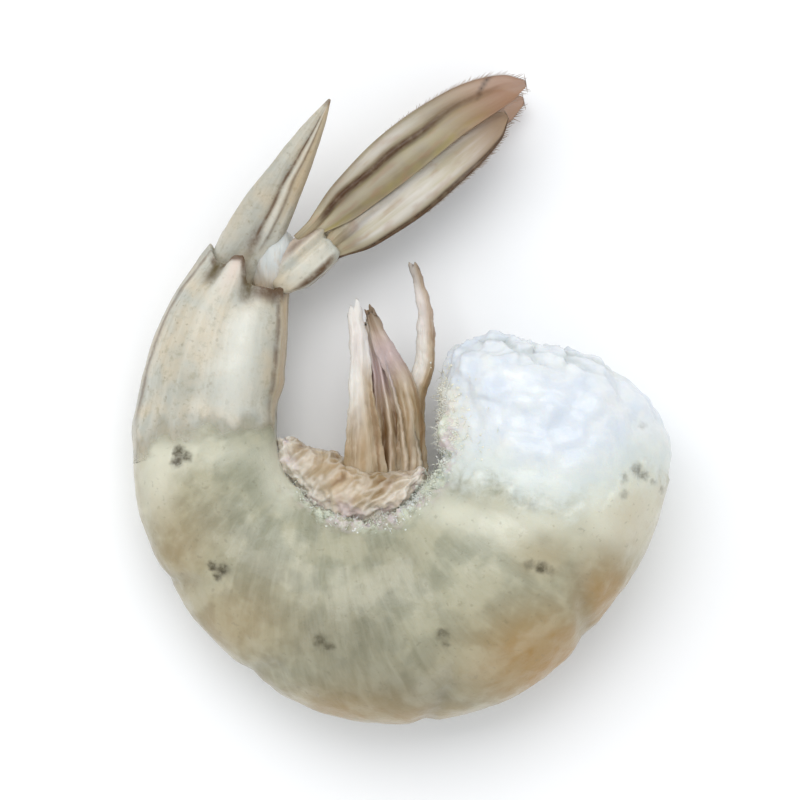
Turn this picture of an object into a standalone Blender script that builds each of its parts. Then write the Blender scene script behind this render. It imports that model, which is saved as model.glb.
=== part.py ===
"""A raw shrimp, peeled and with its tail left on, lying on its right side.

Metres, +Z up. The shrimp rests on the flat spot where its soft flesh is pressed on the table, at Z = 0, and the
origin is under the middle of its box. Seen from above it is curled like a hook: the tail fan points to +Y and +X
from the upper left, the back is the outer side of the curl, and the torn neck end is at the right.

Sizes below are in millimetres and degrees. A place along the body is given by its travel, the distance along the
middle of the body from the root of the tail fan, and round it by an angle, 0 at the back and 180 at the belly.
"""

import math
from collections import namedtuple

import bmesh
import bpy
import numpy as np
from mathutils import Matrix, Vector

MM = 0.001

# The outlines of the back and of the belly, and the body's width from side to side, at its joints and between them
Station = namedtuple("Station", "name back_x back_y belly_x belly_y width")
STATIONS = (
    Station("tail_root", -19.2, 14.4, -11.2, 12.7, 6.8),
    Station("tail_middle", -23.9, 7.4, -11.5, 5.4, 9.6),
    Station("joint_6_5", -26.6, -4.4, -12.0, -2.4, 11.0),
    Station("somite_5", -25.6, -12.4, -11.7, -5.6, 11.8),
    Station("joint_5_4", -22.4, -19.4, -10.4, -7.8, 12.8),
    Station("joint_4_3", -13.4, -28.2, -7.4, -10.0, 15.0),
    Station("somite_3", -4.8, -31.3, -4.2, -10.8, 16.2),
    Station("joint_3_2", 4.8, -31.2, -1.2, -9.9, 17.2),
    Station("somite_2", 13.0, -27.6, 0.8, -8.3, 18.0),
    Station("joint_2_1", 19.7, -21.0, 2.2, -6.4, 18.6),
    Station("somite_1", 24.2, -13.4, 3.2, -3.9, 18.8),
    Station("neck", 26.6, -5.2, 3.4, -0.8, 18.4),
)
JOINTS = ("joint_5_4", "joint_4_3", "joint_3_2", "joint_2_1")
BOX_SHIFT = (0.49, -0.116)  # moves the middle of the object's box to the origin
PRESSED = 0.6  # how deep the flesh is pressed flat on the table
TAIL_RISE = 6.6  # height of the tail's own middle above the table
CLEARANCE = 0.3  # between neighbouring solids
RIM_CREASE = 0.8
TABLE = (120.0, 10.0)  # side and thickness of the block that cuts the flat spot

# The flesh
FLESH_RINGS = 24
RIM_ROUNDING = 0.4  # from the flesh's drawn-in rim, under the shell's lip, to its full size
SECTION_ANGLES = (0, 22, 44, 66, 88, 108, 126, 142, 156, 168, 180)
BACK_FULLNESS = 0.10  # the section is this share wider towards the back
BELLY_HOLLOW = 0.9  # groove along the belly
BELLY_HOLLOW_ANGLE = 16.0
JOINT_GROOVE = 0.30  # crease round the flesh at each joint
JOINT_GROOVE_LENGTH = 1.1
NECK_HEADING = 106.0
NECK_LENGTH = 9.4  # of the rounded neck end
NECK_ROUNDING = 2.7  # exponent of the neck end: 2 is a round dome, more is blunter
NECK_SHARES = (0.2, 0.4, 0.58, 0.74, 0.87, 0.96, 1.0)
NECK_RIM = (0.2, 0.1)  # size of the pit's rim and of its floor, in shares of the neck's section
NECK_PIT = 1.2  # depth of the hollow where the gut ran out
NECK_CRAG = 1.0  # height of the torn lumps on the neck end
NECK_CRAG_SIZE = 3.6
NECK_CRAG_REACH = 1.2  # of the lumps from the neck's middle, in shares of its half depth
NECK_CRAG_START = 0.1  # how far before the neck they start, in shares of its length

# The shell of the tail somite
TAIL_RINGS = 8
SHELL_LIP = 0.35  # the shell's front rim stands proud of the flesh
BACK_KEEL = 0.5  # ridge along the shell's back
BACK_KEEL_ANGLE = 14.0
FLANK_FLAT = 0.16  # how much the shell's flanks are flattened

# The tail fan. Headings are in the table's plane, from +X; a tilt is up from the table.
Blade = namedtuple("Blade", "name x y z heading bend tilt length half_width ribs cup")
BLADES = (
    Blade("endopod_left", -8.3, 16.2, 8.9, 42.0, -31.0, 6.0, 25.2, 3.4, (-0.30, 0.35), 0.8),
    Blade("exopod_left", -7.0, 14.6, 7.7, 39.0, -6.0, 4.0, 21.2, 2.8, (0.0,), 0.5),
    Blade("exopod_right", -7.1, 14.8, 5.5, 40.0, -8.0, -4.0, 20.8, 2.8, (0.0,), -0.5),
    Blade("endopod_right", -8.2, 16.0, 4.3, 41.0, -29.0, -6.0, 24.6, 3.4, (-0.30, 0.35), -0.8),
)
BLADE_OUTLINE = ((0.0, 0.40), (0.18, 0.80), (0.45, 1.0), (0.74, 0.86), (0.92, 0.56), (1.0, 0.22))
BLADE_THICKNESS = 0.5
BLADE_STEPS = (13, 8)  # along and across
RIB_HEIGHT = 0.4
RIB_SHARPNESS = 0.16
RIB_END = 0.12  # the ribs fade out over this share of the blade before its tip
AXIS_STEPS = 8  # of a blade's bent axis for each of its rows

TELSON_ROOT = (-15.5, 15.0, 7.0)
TELSON_LENGTH = 17.4
TELSON_HEADING = 60.0
TELSON_TILT = 14.0
TELSON_BASE = (5.2, 4.8)  # across the flanks, and side to side
TELSON_SIDES = 12
TELSON_RINGS = 8
TELSON_TAPER = (0.85, 0.25, 0.07)  # exponent, swelling in the middle, and size of the tip
TELSON_FLANK_FLAT = 0.28
TELSON_GROOVE = 0.5

UROPOD_BASE_SIZE = (4.0, 4.6, 2.6)
UROPOD_BASE_ROOT = (-9.2, 13.5)
UROPOD_BASE_OFFSET = 1.9  # of each base from the tail's middle, up or down
UROPOD_BASE_HEADING = 42.0

# The torn belly tissue with the stumps of the swimming legs
TISSUE_THICKNESS = (
    ("joint_6_5", 0.4),
    ("somite_5", 2.6),
    ("joint_5_4", 4.6),
    ("joint_4_3", 4.8),
    ("somite_3", 4.2),
    ("joint_3_2", 3.2),
    ("somite_2", 2.0),
    ("joint_2_1", 0.6),
)
TISSUE_START = 1.2  # after the first of those joints, clear of the shell
TISSUE_RIM = 0.3  # thickness of the pad's rims
TISSUE_ANGLE = 32.0  # either side of the belly line
TISSUE_END = 0.06  # how far the pad's narrowing is cut at each end, in shares of its length
TISSUE_STEPS = (16, 8)  # along and across
STRAND_STEPS = (12, 8)  # along and round
STRAND_LOOK = 0.2  # how far along the points a strand's direction is read
Strand = namedtuple("Strand", "name points half_widths thickness")
STRANDS = (
    Strand(
        "rear",
        ((-4.2, -8.2, 8.4), (-4.2, -3.6, 8.8), (-4.6, 1.0, 9.2), (-4.4, 5.0, 9.2), (-4.8, 9.2, 9.0)),
        (2.8, 2.2, 1.3, 0.9, 0.4),
        1.0,
    ),
    Strand(
        "middle",
        ((0.4, -7.0, 7.4), (0.9, -2.9, 7.6), (0.2, 1.4, 7.8), (-1.8, 5.2, 8.2), (-3.2, 8.8, 8.4)),
        (1.8, 1.5, 1.2, 0.8, 0.4),
        1.0,
    ),
    Strand(
        "front",
        ((0.6, -4.4, 7.0), (1.4, 0.2, 6.8), (2.2, 4.2, 6.6), (2.0, 8.2, 6.6), (0.8, 13.4, 6.6)),
        (1.0, 0.9, 0.8, 0.7, 0.45),
        1.0,
    ),
)

COLOURS = {
    "flesh": ((0.50, 0.49, 0.42), 0.28),
    "shell": ((0.46, 0.43, 0.35), 0.34),
    "fan": ((0.40, 0.34, 0.24), 0.36),
    "tissue": ((0.45, 0.31, 0.20), 0.40),
}


def ease(knots, t):
    """The value at t of a smooth curve through the knots (place, value), which never overshoots them."""
    places = np.array([k[0] for k in knots], float)
    values = np.array([k[1] for k in knots], float)
    steps = np.diff(values) / np.diff(places)
    slopes = np.zeros(len(values))
    slopes[0], slopes[-1] = steps[0], steps[-1]
    for i in range(1, len(values) - 1):
        if steps[i - 1] * steps[i] > 0:
            slopes[i] = 2 * steps[i - 1] * steps[i] / (steps[i - 1] + steps[i])
    i = int(np.clip(np.searchsorted(places, t) - 1, 0, len(steps) - 1))
    gap = places[i + 1] - places[i]
    u = (t - places[i]) / gap
    return float(
        values[i] * (1 + 2 * u) * (1 - u) ** 2
        + values[i + 1] * u * u * (3 - 2 * u)
        + gap * (slopes[i] * u * (1 - u) ** 2 - slopes[i + 1] * u * u * (1 - u))
    )


class Spine:
    """The middle of the body by travel, with the section's depth and width along it."""

    SAMPLES = 40

    def __init__(self, stations):
        backs = self.smooth([(s.back_x, s.back_y) for s in stations])
        bellies = self.smooth([(s.belly_x, s.belly_y) for s in stations])
        middles = (backs + bellies) / 2
        self.run = np.concatenate([[0.0], np.cumsum(np.linalg.norm(np.diff(middles, axis=0), axis=1))])
        self.backs, self.middles = backs, middles
        self.places = {s.name: float(self.run[i * self.SAMPLES]) for i, s in enumerate(stations)}
        self.widths = [(self.places[s.name], s.width) for s in stations]

    def smooth(self, points):
        """A Catmull-Rom curve through the points."""
        points = np.array(points)
        points = np.concatenate([2 * points[:1] - points[1:2], points, 2 * points[-1:] - points[-2:-1]])
        line = []
        for a, b, c, d in zip(points, points[1:], points[2:], points[3:]):
            for t in np.arange(self.SAMPLES) / self.SAMPLES:
                bend, twist = 2 * a - 5 * b + 4 * c - d, 3 * b - a - 3 * c + d
                line.append((2 * b + (c - a) * t + bend * t**2 + twist * t**3) / 2)
        return np.array([*line, points[-2]])

    def at(self, line, travel):
        return Vector([float(np.interp(travel, self.run, line[:, axis])) for axis in (0, 1)]).to_3d()

    def width(self, travel):
        return ease(self.widths, travel)

    def section(self, travel):
        """(middle, back, half depth): the section's middle, the unit vector to the back, and its half depth."""
        middle = self.at(self.middles, travel)
        to_back = self.at(self.backs, travel) - middle
        low, high = self.places["joint_6_5"], self.places["joint_4_3"]
        share = ease(((low, 0.0), (high, 1.0)), min(max(travel, low), high))
        middle.z = TAIL_RISE * (1 - share) + (self.width(travel) / 2 - PRESSED) * share
        return middle, to_back.normalized(), to_back.length


SPINE = Spine(STATIONS)
TAIL_FRONT = SPINE.places["joint_6_5"]
NECK = SPINE.places["neck"]


def clear_scene():
    for obj in list(bpy.data.objects):
        bpy.data.objects.remove(obj, do_unlink=True)


def make_collection(name):
    collection = bpy.data.collections.new(name)
    bpy.context.scene.collection.children.link(collection)
    return collection


def make_material(name):
    colour, roughness = COLOURS[name]
    material = bpy.data.materials.new(name)
    material.use_nodes = True
    shader = material.node_tree.nodes["Principled BSDF"]
    shader.inputs["Base Color"].default_value = (*colour, 1)
    shader.inputs["Roughness"].default_value = roughness
    shader.inputs["Metallic"].default_value = 0.0
    material.diffuse_color = (*colour, 1)
    return material


def make_object(name, mesh_maker, collection, material, parent):
    """An object whose mesh is made in millimetres by mesh_maker and then brought to metres."""
    mesh = bpy.data.meshes.new(name)
    bm = bmesh.new()
    mesh_maker(bm)
    bmesh.ops.scale(bm, vec=(MM, MM, MM), verts=bm.verts)
    bmesh.ops.recalc_face_normals(bm, faces=bm.faces)
    bm.to_mesh(mesh)
    bm.free()
    mesh.materials.append(material)
    mesh.shade_smooth()
    obj = bpy.data.objects.new(name, mesh)
    collection.objects.link(obj)
    obj.parent = parent
    return obj


def add_subdivision(obj, levels=1):
    modifier = obj.modifiers.new("soften", "SUBSURF")
    modifier.levels = modifier.render_levels = levels


def add_boolean(obj, operation, other):
    modifier = obj.modifiers.new(operation.lower(), "BOOLEAN")
    modifier.operation = operation
    modifier.solver = "EXACT"
    modifier.object = other


def loft(bm, rings):
    """Rings of as many points each, joined by quads and closed at both ends, whose rims stay sharp."""
    loops = [[bm.verts.new(p) for p in ring] for ring in rings]
    for low, high in zip(loops, loops[1:]):
        for i, vertex in enumerate(low):
            j = (i + 1) % len(low)
            bm.faces.new((vertex, low[j], high[j], high[i]))
    crease = bm.edges.layers.float.new("crease_edge")
    for loop in (loops[0], loops[-1]):
        for edge in bm.faces.new(loop).edges:
            edge[crease] = RIM_CREASE


def section_angles():
    """The angles once round the section, down the upper flank and back up the lower one."""
    return [*SECTION_ANGLES, *(-a for a in SECTION_ANGLES[-2:0:-1])]


def joint_groove(travel):
    """How far the flesh is drawn in at this travel, by the crease at the nearest joint."""
    nearest = min(abs(travel - SPINE.places[joint]) for joint in JOINTS)
    return JOINT_GROOVE * math.exp(-((nearest / JOINT_GROOVE_LENGTH) ** 2))


def flesh_ring(travel, inset=0.0):
    """A section of the flesh: fuller to the back, with a hollow along the belly."""
    middle, back, half_depth = SPINE.section(travel)
    drawn_in = inset + joint_groove(travel)
    ring = []
    for degrees in section_angles():
        angle = math.radians(degrees)
        hollow = BELLY_HOLLOW * math.exp(-(((180 - abs(degrees)) / BELLY_HOLLOW_ANGLE) ** 2))
        to_back = (half_depth - drawn_in) * math.cos(angle) + hollow
        fullness = 1 + BACK_FULLNESS * math.cos(angle)
        to_side = (SPINE.width(travel) / 2 - drawn_in) * math.sin(angle) * fullness
        ring.append(middle + back * to_back + Vector((0, 0, to_side)))
    return ring


def neck_rings():
    """The rounded end of the muscle where the head was pulled off, closing round a shallow pit."""
    base = flesh_ring(NECK)
    middle = sum(base, Vector()) / len(base)
    along = heading_vector(NECK_HEADING, 0)
    for share in NECK_SHARES:
        size = max(NECK_RIM[0], (1 - share**NECK_ROUNDING) ** (1 / NECK_ROUNDING))
        yield [middle + along * NECK_LENGTH * share + (point - middle) * size for point in base]
    pit = middle + along * (NECK_LENGTH - NECK_PIT)
    yield [pit + (point - middle) * NECK_RIM[1] for point in base]


def flesh_mesh(bm):
    start = TAIL_FRONT + CLEARANCE
    rings = [flesh_ring(start, SHELL_LIP)]
    rings.extend(flesh_ring(travel) for travel in np.linspace(start + RIM_ROUNDING, NECK, FLESH_RINGS))
    rings.extend(neck_rings())
    loft(bm, rings)


def add_neck_crags(flesh):
    """Torn lumps, growing from nothing a little before the neck to their full height on its end."""
    group = flesh.vertex_groups.new(name="neck")
    middle, _, half_depth = SPINE.section(NECK)
    along = heading_vector(NECK_HEADING, 0)
    for vertex in flesh.data.vertices:
        offset = vertex.co / MM - middle
        near = offset.length < half_depth * NECK_CRAG_REACH
        grown = min(max(offset.dot(along) / NECK_LENGTH + NECK_CRAG_START, 0), 1)
        group.add([vertex.index], grown if near else 0.0, "REPLACE")
    texture = bpy.data.textures.new("torn_muscle", "CLOUDS")
    texture.noise_scale = NECK_CRAG_SIZE * MM
    texture.noise_depth = 2
    modifier = flesh.modifiers.new("crags", "DISPLACE")
    modifier.texture = texture
    modifier.texture_coords = "LOCAL"
    modifier.vertex_group = group.name
    modifier.strength = NECK_CRAG * 2 * MM
    modifier.mid_level = 0.55  # a little over the middle, so that the lumps stay inside the neck's outline


def make_flesh(collection, cutters, parent):
    flesh = make_object("flesh", flesh_mesh, collection, make_material("flesh"), parent)
    add_subdivision(flesh)
    add_neck_crags(flesh)
    table = make_object("table_cutter", table_mesh, cutters, flesh.data.materials[0], parent)
    table.hide_render = True
    table.display_type = "WIRE"
    add_boolean(flesh, "DIFFERENCE", table)
    return flesh


def table_mesh(bm):
    """A block whose top is the table, which leaves the flesh its flat spot."""
    side, thick = TABLE
    bmesh.ops.create_cube(bm, size=1.0)
    bmesh.ops.scale(bm, vec=(side, side, thick), verts=bm.verts)
    bmesh.ops.translate(bm, vec=(0, 0, -thick / 2), verts=bm.verts)


def tail_mesh(bm):
    """The tail somite in its shell: keeled along the back, flat on the flanks, with a raised front rim."""
    rings = []
    for i in range(TAIL_RINGS):
        share = i / (TAIL_RINGS - 1)
        travel = TAIL_FRONT * share
        middle, back, half_depth = SPINE.section(travel)
        lip = SHELL_LIP * share**6
        ring = []
        for degrees in section_angles():
            angle = math.radians(degrees)
            keel = BACK_KEEL * math.exp(-((degrees / BACK_KEEL_ANGLE) ** 2))
            flat = (1 - FLANK_FLAT * math.sin(angle) ** 8) * (1 + FLANK_FLAT)
            to_back = (half_depth + lip) * math.cos(angle) + keel
            to_side = (SPINE.width(travel) / 2 + lip) * math.sin(angle) * flat
            ring.append(middle + back * to_back + Vector((0, 0, to_side)))
        rings.append(ring)
    loft(bm, rings)


def heading_vector(heading, tilt):
    h, t = math.radians(heading), math.radians(tilt)
    return Vector((math.cos(h) * math.cos(t), math.sin(h) * math.cos(t), math.sin(t)))


def blade_mesh(blade):
    """A maker for one plate of the tail fan: a cupped, ribbed leaf whose axis bends towards its tip."""

    def make(bm):
        along, across = BLADE_STEPS
        bmesh.ops.create_grid(bm, x_segments=along, y_segments=across, size=0.5)
        axis = [Vector((blade.x, blade.y, blade.z))]
        pieces = along * AXIS_STEPS
        for i in range(pieces):
            step = heading_vector(blade.heading + blade.bend * (i / pieces) ** 3, blade.tilt)
            axis.append(axis[-1] + step * blade.length / pieces)
        for vertex in bm.verts:
            share, side = vertex.co.x + 0.5, vertex.co.y * 2
            heading = math.radians(blade.heading + blade.bend * share**3)
            sideways = Vector((-math.sin(heading), math.cos(heading), 0))
            width = ease(BLADE_OUTLINE, share)
            rib = sum(math.exp(-(((side - place) / RIB_SHARPNESS) ** 2)) for place in blade.ribs)
            fade = math.sin(math.pi * min(share + RIB_END, 1.0)) ** 0.5
            cup = abs(blade.cup) * (side * width) ** 2
            lift = (RIB_HEIGHT * rib * fade - cup) * math.copysign(1, blade.cup)
            across_blade = sideways * side * blade.half_width * width
            vertex.co = axis[round(share * pieces)] + across_blade + Vector((0, 0, lift))

    return make


def make_blades(collection, parent):
    material = make_material("fan")
    for blade in BLADES:
        obj = make_object(blade.name, blade_mesh(blade), collection, material, parent)
        modifier = obj.modifiers.new("thickness", "SOLIDIFY")
        modifier.thickness = BLADE_THICKNESS * MM
        modifier.offset = 0.0


def telson_mesh(bm):
    """A tapering spike with flat flanks and a groove along its back."""
    along = heading_vector(TELSON_HEADING, TELSON_TILT)
    back = heading_vector(TELSON_HEADING + 90, 0)
    side = along.cross(back)
    rings = []
    for i in range(TELSON_RINGS):
        share = i / (TELSON_RINGS - 1)
        taper, swelling, tip = TELSON_TAPER
        size = max(tip, (1 - share) ** taper * (1 + swelling * share))
        ring = []
        for k in range(TELSON_SIDES):
            angle = math.tau * k / TELSON_SIDES
            groove = TELSON_GROOVE * size if k == 0 else 0.0
            flat = 1 - TELSON_FLANK_FLAT * math.sin(angle) ** 4
            to_back = (TELSON_BASE[0] / 2 * math.cos(angle) - groove) * size
            to_side = TELSON_BASE[1] / 2 * math.sin(angle) * flat * size
            ring.append(Vector(TELSON_ROOT) + along * TELSON_LENGTH * share + back * to_back + side * to_side)
        rings.append(ring)
    loft(bm, rings)


def uropod_base_mesh(offset):
    """A maker for the stubby joint that carries one side's two blades."""

    def make(bm):
        bmesh.ops.create_cube(bm, size=1.0)
        bmesh.ops.subdivide_edges(bm, edges=bm.edges, cuts=1, use_grid_fill=True)
        bmesh.ops.scale(bm, vec=UROPOD_BASE_SIZE, verts=bm.verts)
        bmesh.ops.rotate(bm, matrix=Matrix.Rotation(math.radians(UROPOD_BASE_HEADING), 3, "Z"), verts=bm.verts)
        bmesh.ops.translate(bm, vec=(*UROPOD_BASE_ROOT, TAIL_RISE + offset), verts=bm.verts)

    return make


def make_fan(collection, parent):
    make_blades(collection, parent)
    shell = make_material("shell")
    tail = make_object("tail_segment", tail_mesh, collection, shell, parent)
    telson = make_object("telson", telson_mesh, collection, shell, parent)
    add_subdivision(tail)
    add_subdivision(telson)
    for side, offset in (("left", UROPOD_BASE_OFFSET), ("right", -UROPOD_BASE_OFFSET)):
        base = make_object(f"uropod_base_{side}", uropod_base_mesh(offset), collection, shell, parent)
        add_subdivision(base)


def tissue_mesh(bm):
    """A pad that follows the belly a clearance away from it, thick in the middle and thin at its rims."""
    thicknesses = [(SPINE.places[name], thickness) for name, thickness in TISSUE_THICKNESS]
    low, high = thicknesses[0][0] + TISSUE_START, thicknesses[-1][0]
    along, across = TISSUE_STEPS
    rings = []
    for share in np.linspace(0, 1, along + 1):
        travel = low + (high - low) * share
        middle, back, half_depth = SPINE.section(travel)
        swell = math.sin(math.pi * (TISSUE_END + (1 - 2 * TISSUE_END) * share)) ** 0.6
        under, over = [], []
        for side in np.linspace(-1, 1, across + 1):
            angle = math.radians(180 + side * TISSUE_ANGLE * swell)
            to_side = Vector((0, 0, SPINE.width(travel) / 2 * math.sin(angle)))
            depth = half_depth * math.cos(angle) - CLEARANCE
            thick = ease(thicknesses, travel) * math.sqrt(1 - side * side) + TISSUE_RIM
            under.append(middle + back * depth + to_side)
            over.append(middle + back * (depth - thick) + to_side)
        rings.append(under + over[::-1])
    loft(bm, rings)


def strand_mesh(strand):
    """A maker for one torn leg stump: a flat tapering strip that follows its points."""

    def make(bm):
        steps, sides = STRAND_STEPS
        knots = [list(enumerate(values)) for values in zip(*strand.points)]
        widths = list(enumerate(strand.half_widths))
        last = len(strand.points) - 1
        rings = []
        for place in np.linspace(0, last, steps + 1):
            middle = Vector([ease(k, place) for k in knots])
            ahead = Vector([ease(k, min(place + STRAND_LOOK, last)) for k in knots])
            behind = Vector([ease(k, max(place - STRAND_LOOK, 0)) for k in knots])
            along = (ahead - behind).normalized()
            across = along.cross(Vector((0, 0, 1))).normalized()
            half = ease(widths, place)
            ring = []
            for k in range(sides):
                angle = math.tau * k / sides
                thick = strand.thickness / 2 * math.sin(angle)
                ring.append(middle + across * half * math.cos(angle) + along.cross(across) * thick)
            rings.append(ring)
        loft(bm, rings)

    return make


def make_tissue(collection, cutters, parent):
    material = make_material("tissue")
    tissue = make_object("belly_tissue", tissue_mesh, collection, material, parent)
    for strand in STRANDS:
        piece = make_object(f"strand_{strand.name}", strand_mesh(strand), cutters, material, parent)
        piece.hide_render = True
        piece.display_type = "WIRE"
        add_boolean(tissue, "UNION", piece)
    return tissue


def main():
    clear_scene()
    parts = make_collection("raw_peeled_shrimp")
    cutters = make_collection("cutters")
    body = bpy.data.objects.new("shrimp", None)
    parts.objects.link(body)
    body.location = (BOX_SHIFT[0] * MM, BOX_SHIFT[1] * MM, 0)
    make_flesh(parts, cutters, body)
    make_fan(parts, body)
    make_tissue(parts, cutters, body)


main()
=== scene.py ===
"""Looks of a raw shrimp, peeled down to its tail, lying on its right side.

Pieces are modelled in millimetres, along the outlines of the back and of the belly, and set down in
metres at the end. A place along the body is its travel, the distance from the root of the tail fan. A
place round the body is an angle, 0 at the back and 180 at the belly.
"""

import math
import random
from collections import namedtuple

import bpy
import numpy as np
from bpy.props import FloatProperty, FloatVectorProperty, IntProperty, PointerProperty
from mathutils import Matrix, Vector, noise
from mathutils.bvhtree import BVHTree


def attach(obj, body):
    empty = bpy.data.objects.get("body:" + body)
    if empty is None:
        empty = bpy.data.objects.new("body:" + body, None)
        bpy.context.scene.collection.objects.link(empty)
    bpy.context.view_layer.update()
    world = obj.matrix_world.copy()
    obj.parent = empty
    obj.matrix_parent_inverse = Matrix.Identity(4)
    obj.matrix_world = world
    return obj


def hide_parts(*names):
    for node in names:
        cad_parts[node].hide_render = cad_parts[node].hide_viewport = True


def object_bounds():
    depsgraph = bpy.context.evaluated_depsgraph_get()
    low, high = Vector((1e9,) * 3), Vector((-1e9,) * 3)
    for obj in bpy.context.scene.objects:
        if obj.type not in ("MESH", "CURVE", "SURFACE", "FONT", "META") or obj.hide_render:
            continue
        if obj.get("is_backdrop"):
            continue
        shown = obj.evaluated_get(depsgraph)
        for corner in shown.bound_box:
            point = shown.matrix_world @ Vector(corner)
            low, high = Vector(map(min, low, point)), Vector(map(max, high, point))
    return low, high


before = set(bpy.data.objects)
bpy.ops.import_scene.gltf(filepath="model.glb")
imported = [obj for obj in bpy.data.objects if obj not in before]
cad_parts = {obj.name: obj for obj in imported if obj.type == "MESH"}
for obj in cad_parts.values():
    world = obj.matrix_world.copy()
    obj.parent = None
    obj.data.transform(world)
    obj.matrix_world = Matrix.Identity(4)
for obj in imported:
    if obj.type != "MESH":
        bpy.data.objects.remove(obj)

bl_info = {
    "name": "Raw Peeled Shrimp",
    "version": (1, 0, 0),
    "blender": (4, 5, 0),
    "location": "View3D > Sidebar > Shrimp",
    "description": "A raw shrimp, peeled down to its tail and lying on its side",
    "category": "Object",
}

CAD_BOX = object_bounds()
MM = 0.001
BOX_SHIFT = Vector((0.49, -0.116, 0.0))  # moves the middle of the shrimp's box to the origin
TAIL_RISE = 6.6  # height of the tail's own middle above the table
PRESSED = 0.6  # how deep the flesh is pressed flat on the table

Station = namedtuple("Station", "name back_x back_y belly_x belly_y width")
STATIONS = (
    Station("tail_root", -19.2, 14.4, -11.2, 12.7, 6.8),
    Station("tail_middle", -23.9, 7.4, -11.5, 5.4, 9.6),
    Station("joint_6_5", -26.6, -4.4, -12.0, -2.4, 11.0),
    Station("somite_5", -25.6, -12.4, -11.7, -5.6, 11.8),
    Station("joint_5_4", -22.4, -19.4, -10.4, -7.8, 12.8),
    Station("joint_4_3", -13.4, -28.2, -7.4, -10.0, 15.0),
    Station("somite_3", -4.8, -31.3, -4.2, -10.8, 16.2),
    Station("joint_3_2", 4.8, -31.2, -1.2, -9.9, 17.2),
    Station("somite_2", 13.0, -27.6, 0.8, -8.3, 18.0),
    Station("joint_2_1", 19.7, -21.0, 2.2, -6.4, 18.6),
    Station("somite_1", 24.2, -13.4, 3.2, -3.9, 18.8),
    Station("neck", 26.6, -5.2, 3.4, -0.8, 18.4),
)
JOINTS = ("joint_5_4", "joint_4_3", "joint_3_2", "joint_2_1")
Section = namedtuple("Section", "middle heading across up")

# Where the skin ends and the bare white muscle begins, from the belly to the back
SKIN_EDGE = (
    (-4.0, -5.5),
    (1.0, -7.2),
    (4.0, -7.9),
    (8.6, -7.8),
    (11.0, -9.4),
    (15.2, -10.4),
    (19.4, -9.0),
    (22.2, -7.0),
    (27.0, -7.6),
)
MARK_WOBBLE = 0.45  # how far the outlines of the dark marks stray
MARK_WOBBLE_SIZE = 0.8
# Small dark marks in the skin: x, y, radius, strength
HINGE_MARKS = (
    (-21.9, -4.9, 0.55, 1.0),
    (-22.0, -5.9, 0.6, 1.0),
    (-21.1, -5.4, 0.5, 0.9),
    (-18.6, -15.9, 0.5, 1.0),
    (-17.6, -16.3, 0.62, 1.0),
    (-18.1, -17.0, 0.45, 0.9),
    (13.0, -15.9, 0.6, 0.9),
    (11.9, -15.6, 0.5, 0.5),
    (13.9, -16.2, 0.4, 0.5),
    (3.6, -22.3, 0.6, 0.75),
    (3.9, -23.3, 0.4, 0.5),
    (22.2, -6.6, 0.7, 0.6),
    (21.0, -7.3, 0.5, 0.4),
    (22.9, -7.2, 0.5, 0.6),
    (23.9, -7.8, 0.35, 0.45),
    (24.8, -8.5, 0.35, 0.45),
    (20.9, -8.9, 0.5, 0.4),
    (22.8, -2.4, 0.45, 0.3),
    (12.2, -9.9, 0.6, 0.3),
    (-8.2, -22.9, 0.6, 0.8),
    (-7.3, -23.5, 0.5, 0.7),
)
# Warm patches of the skin: x, y, radius along x and y, strength
WARM_PATCHES = (
    (-22.5, -15.5, 4.2, 7.5, 0.45),
    (-17.5, -22.0, 6.0, 4.5, 0.5),
    (-8.0, -31.0, 12.0, 3.2, 0.7),
    (2.0, -31.6, 10.0, 2.6, 0.75),
    (14.0, -25.5, 7.5, 5.5, 1.2),
    (19.5, -20.0, 3.8, 5.5, 1.0),
    (22.0, -12.5, 3.0, 4.5, 0.35),
    (13.5, -15.0, 3.2, 2.4, 0.35),
)
# Patches that are darker (below 0) or paler (above 0): partly painted shade and painted light, partly the
# skin's own uneven tone. x, y, radius along x and y, strength
TONE_AND_PAINTED_LIGHT_PATCHES = (
    (-6.0, -23.0, 6.5, 4.0, -0.9),
    (-14.0, -16.5, 4.0, 5.0, -0.5),
    (0.0, -28.0, 9.0, 3.4, -0.85),
    (-19.5, -11.0, 4.0, 4.0, -0.45),
    (-1.5, -15.5, 5.5, 4.5, -0.45),
    (8.5, -14.5, 5.0, 4.5, 0.2),
    (21.5, -9.5, 4.5, 5.0, 1.3),
    (16.0, -12.5, 5.0, 4.0, 0.15),
    (-23.8, -8.5, 3.0, 4.5, 0.8),
    (-19.0, -5.0, 7.0, 1.8, 0.5),
    (-12.0, -8.0, 2.4, 4.0, 0.8),
    (3.5, -10.5, 4.0, 2.2, 0.7),
    (11.0, -11.5, 4.5, 1.8, 0.7),
)


def patched(co, patches, widest=True):
    """The patches' strength at each point: the strongest one, or their sum."""
    parts = []
    for x, y, wide, high, strength in patches:
        parts.append(strength * bell(np.hypot((co[:, 0] - x) / wide, (co[:, 1] - y) / high), 1.0))
    return np.max([0 * parts[0], *parts], axis=0) if widest else sum(parts)


def ease(knots, t):
    """The value at t of a smooth curve through the knots (place, value), which never overshoots them."""
    places = np.array([k[0] for k in knots], float)
    values = np.array([k[1] for k in knots], float)
    steps = np.diff(values) / np.diff(places)
    slopes = np.zeros(len(values))
    slopes[0], slopes[-1] = steps[0], steps[-1]
    for i in range(1, len(values) - 1):
        if steps[i - 1] * steps[i] > 0:
            slopes[i] = 2 * steps[i - 1] * steps[i] / (steps[i - 1] + steps[i])
    t = np.clip(np.asarray(t, float), places[0], places[-1])
    i = np.clip(np.searchsorted(places, t) - 1, 0, len(steps) - 1)
    gap = places[i + 1] - places[i]
    u = (t - places[i]) / gap
    low = values[i] * (1 + 2 * u) * (1 - u) ** 2 + gap * slopes[i] * u * (1 - u) ** 2
    return low + values[i + 1] * u * u * (3 - 2 * u) - gap * slopes[i + 1] * u * u * (1 - u)


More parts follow.
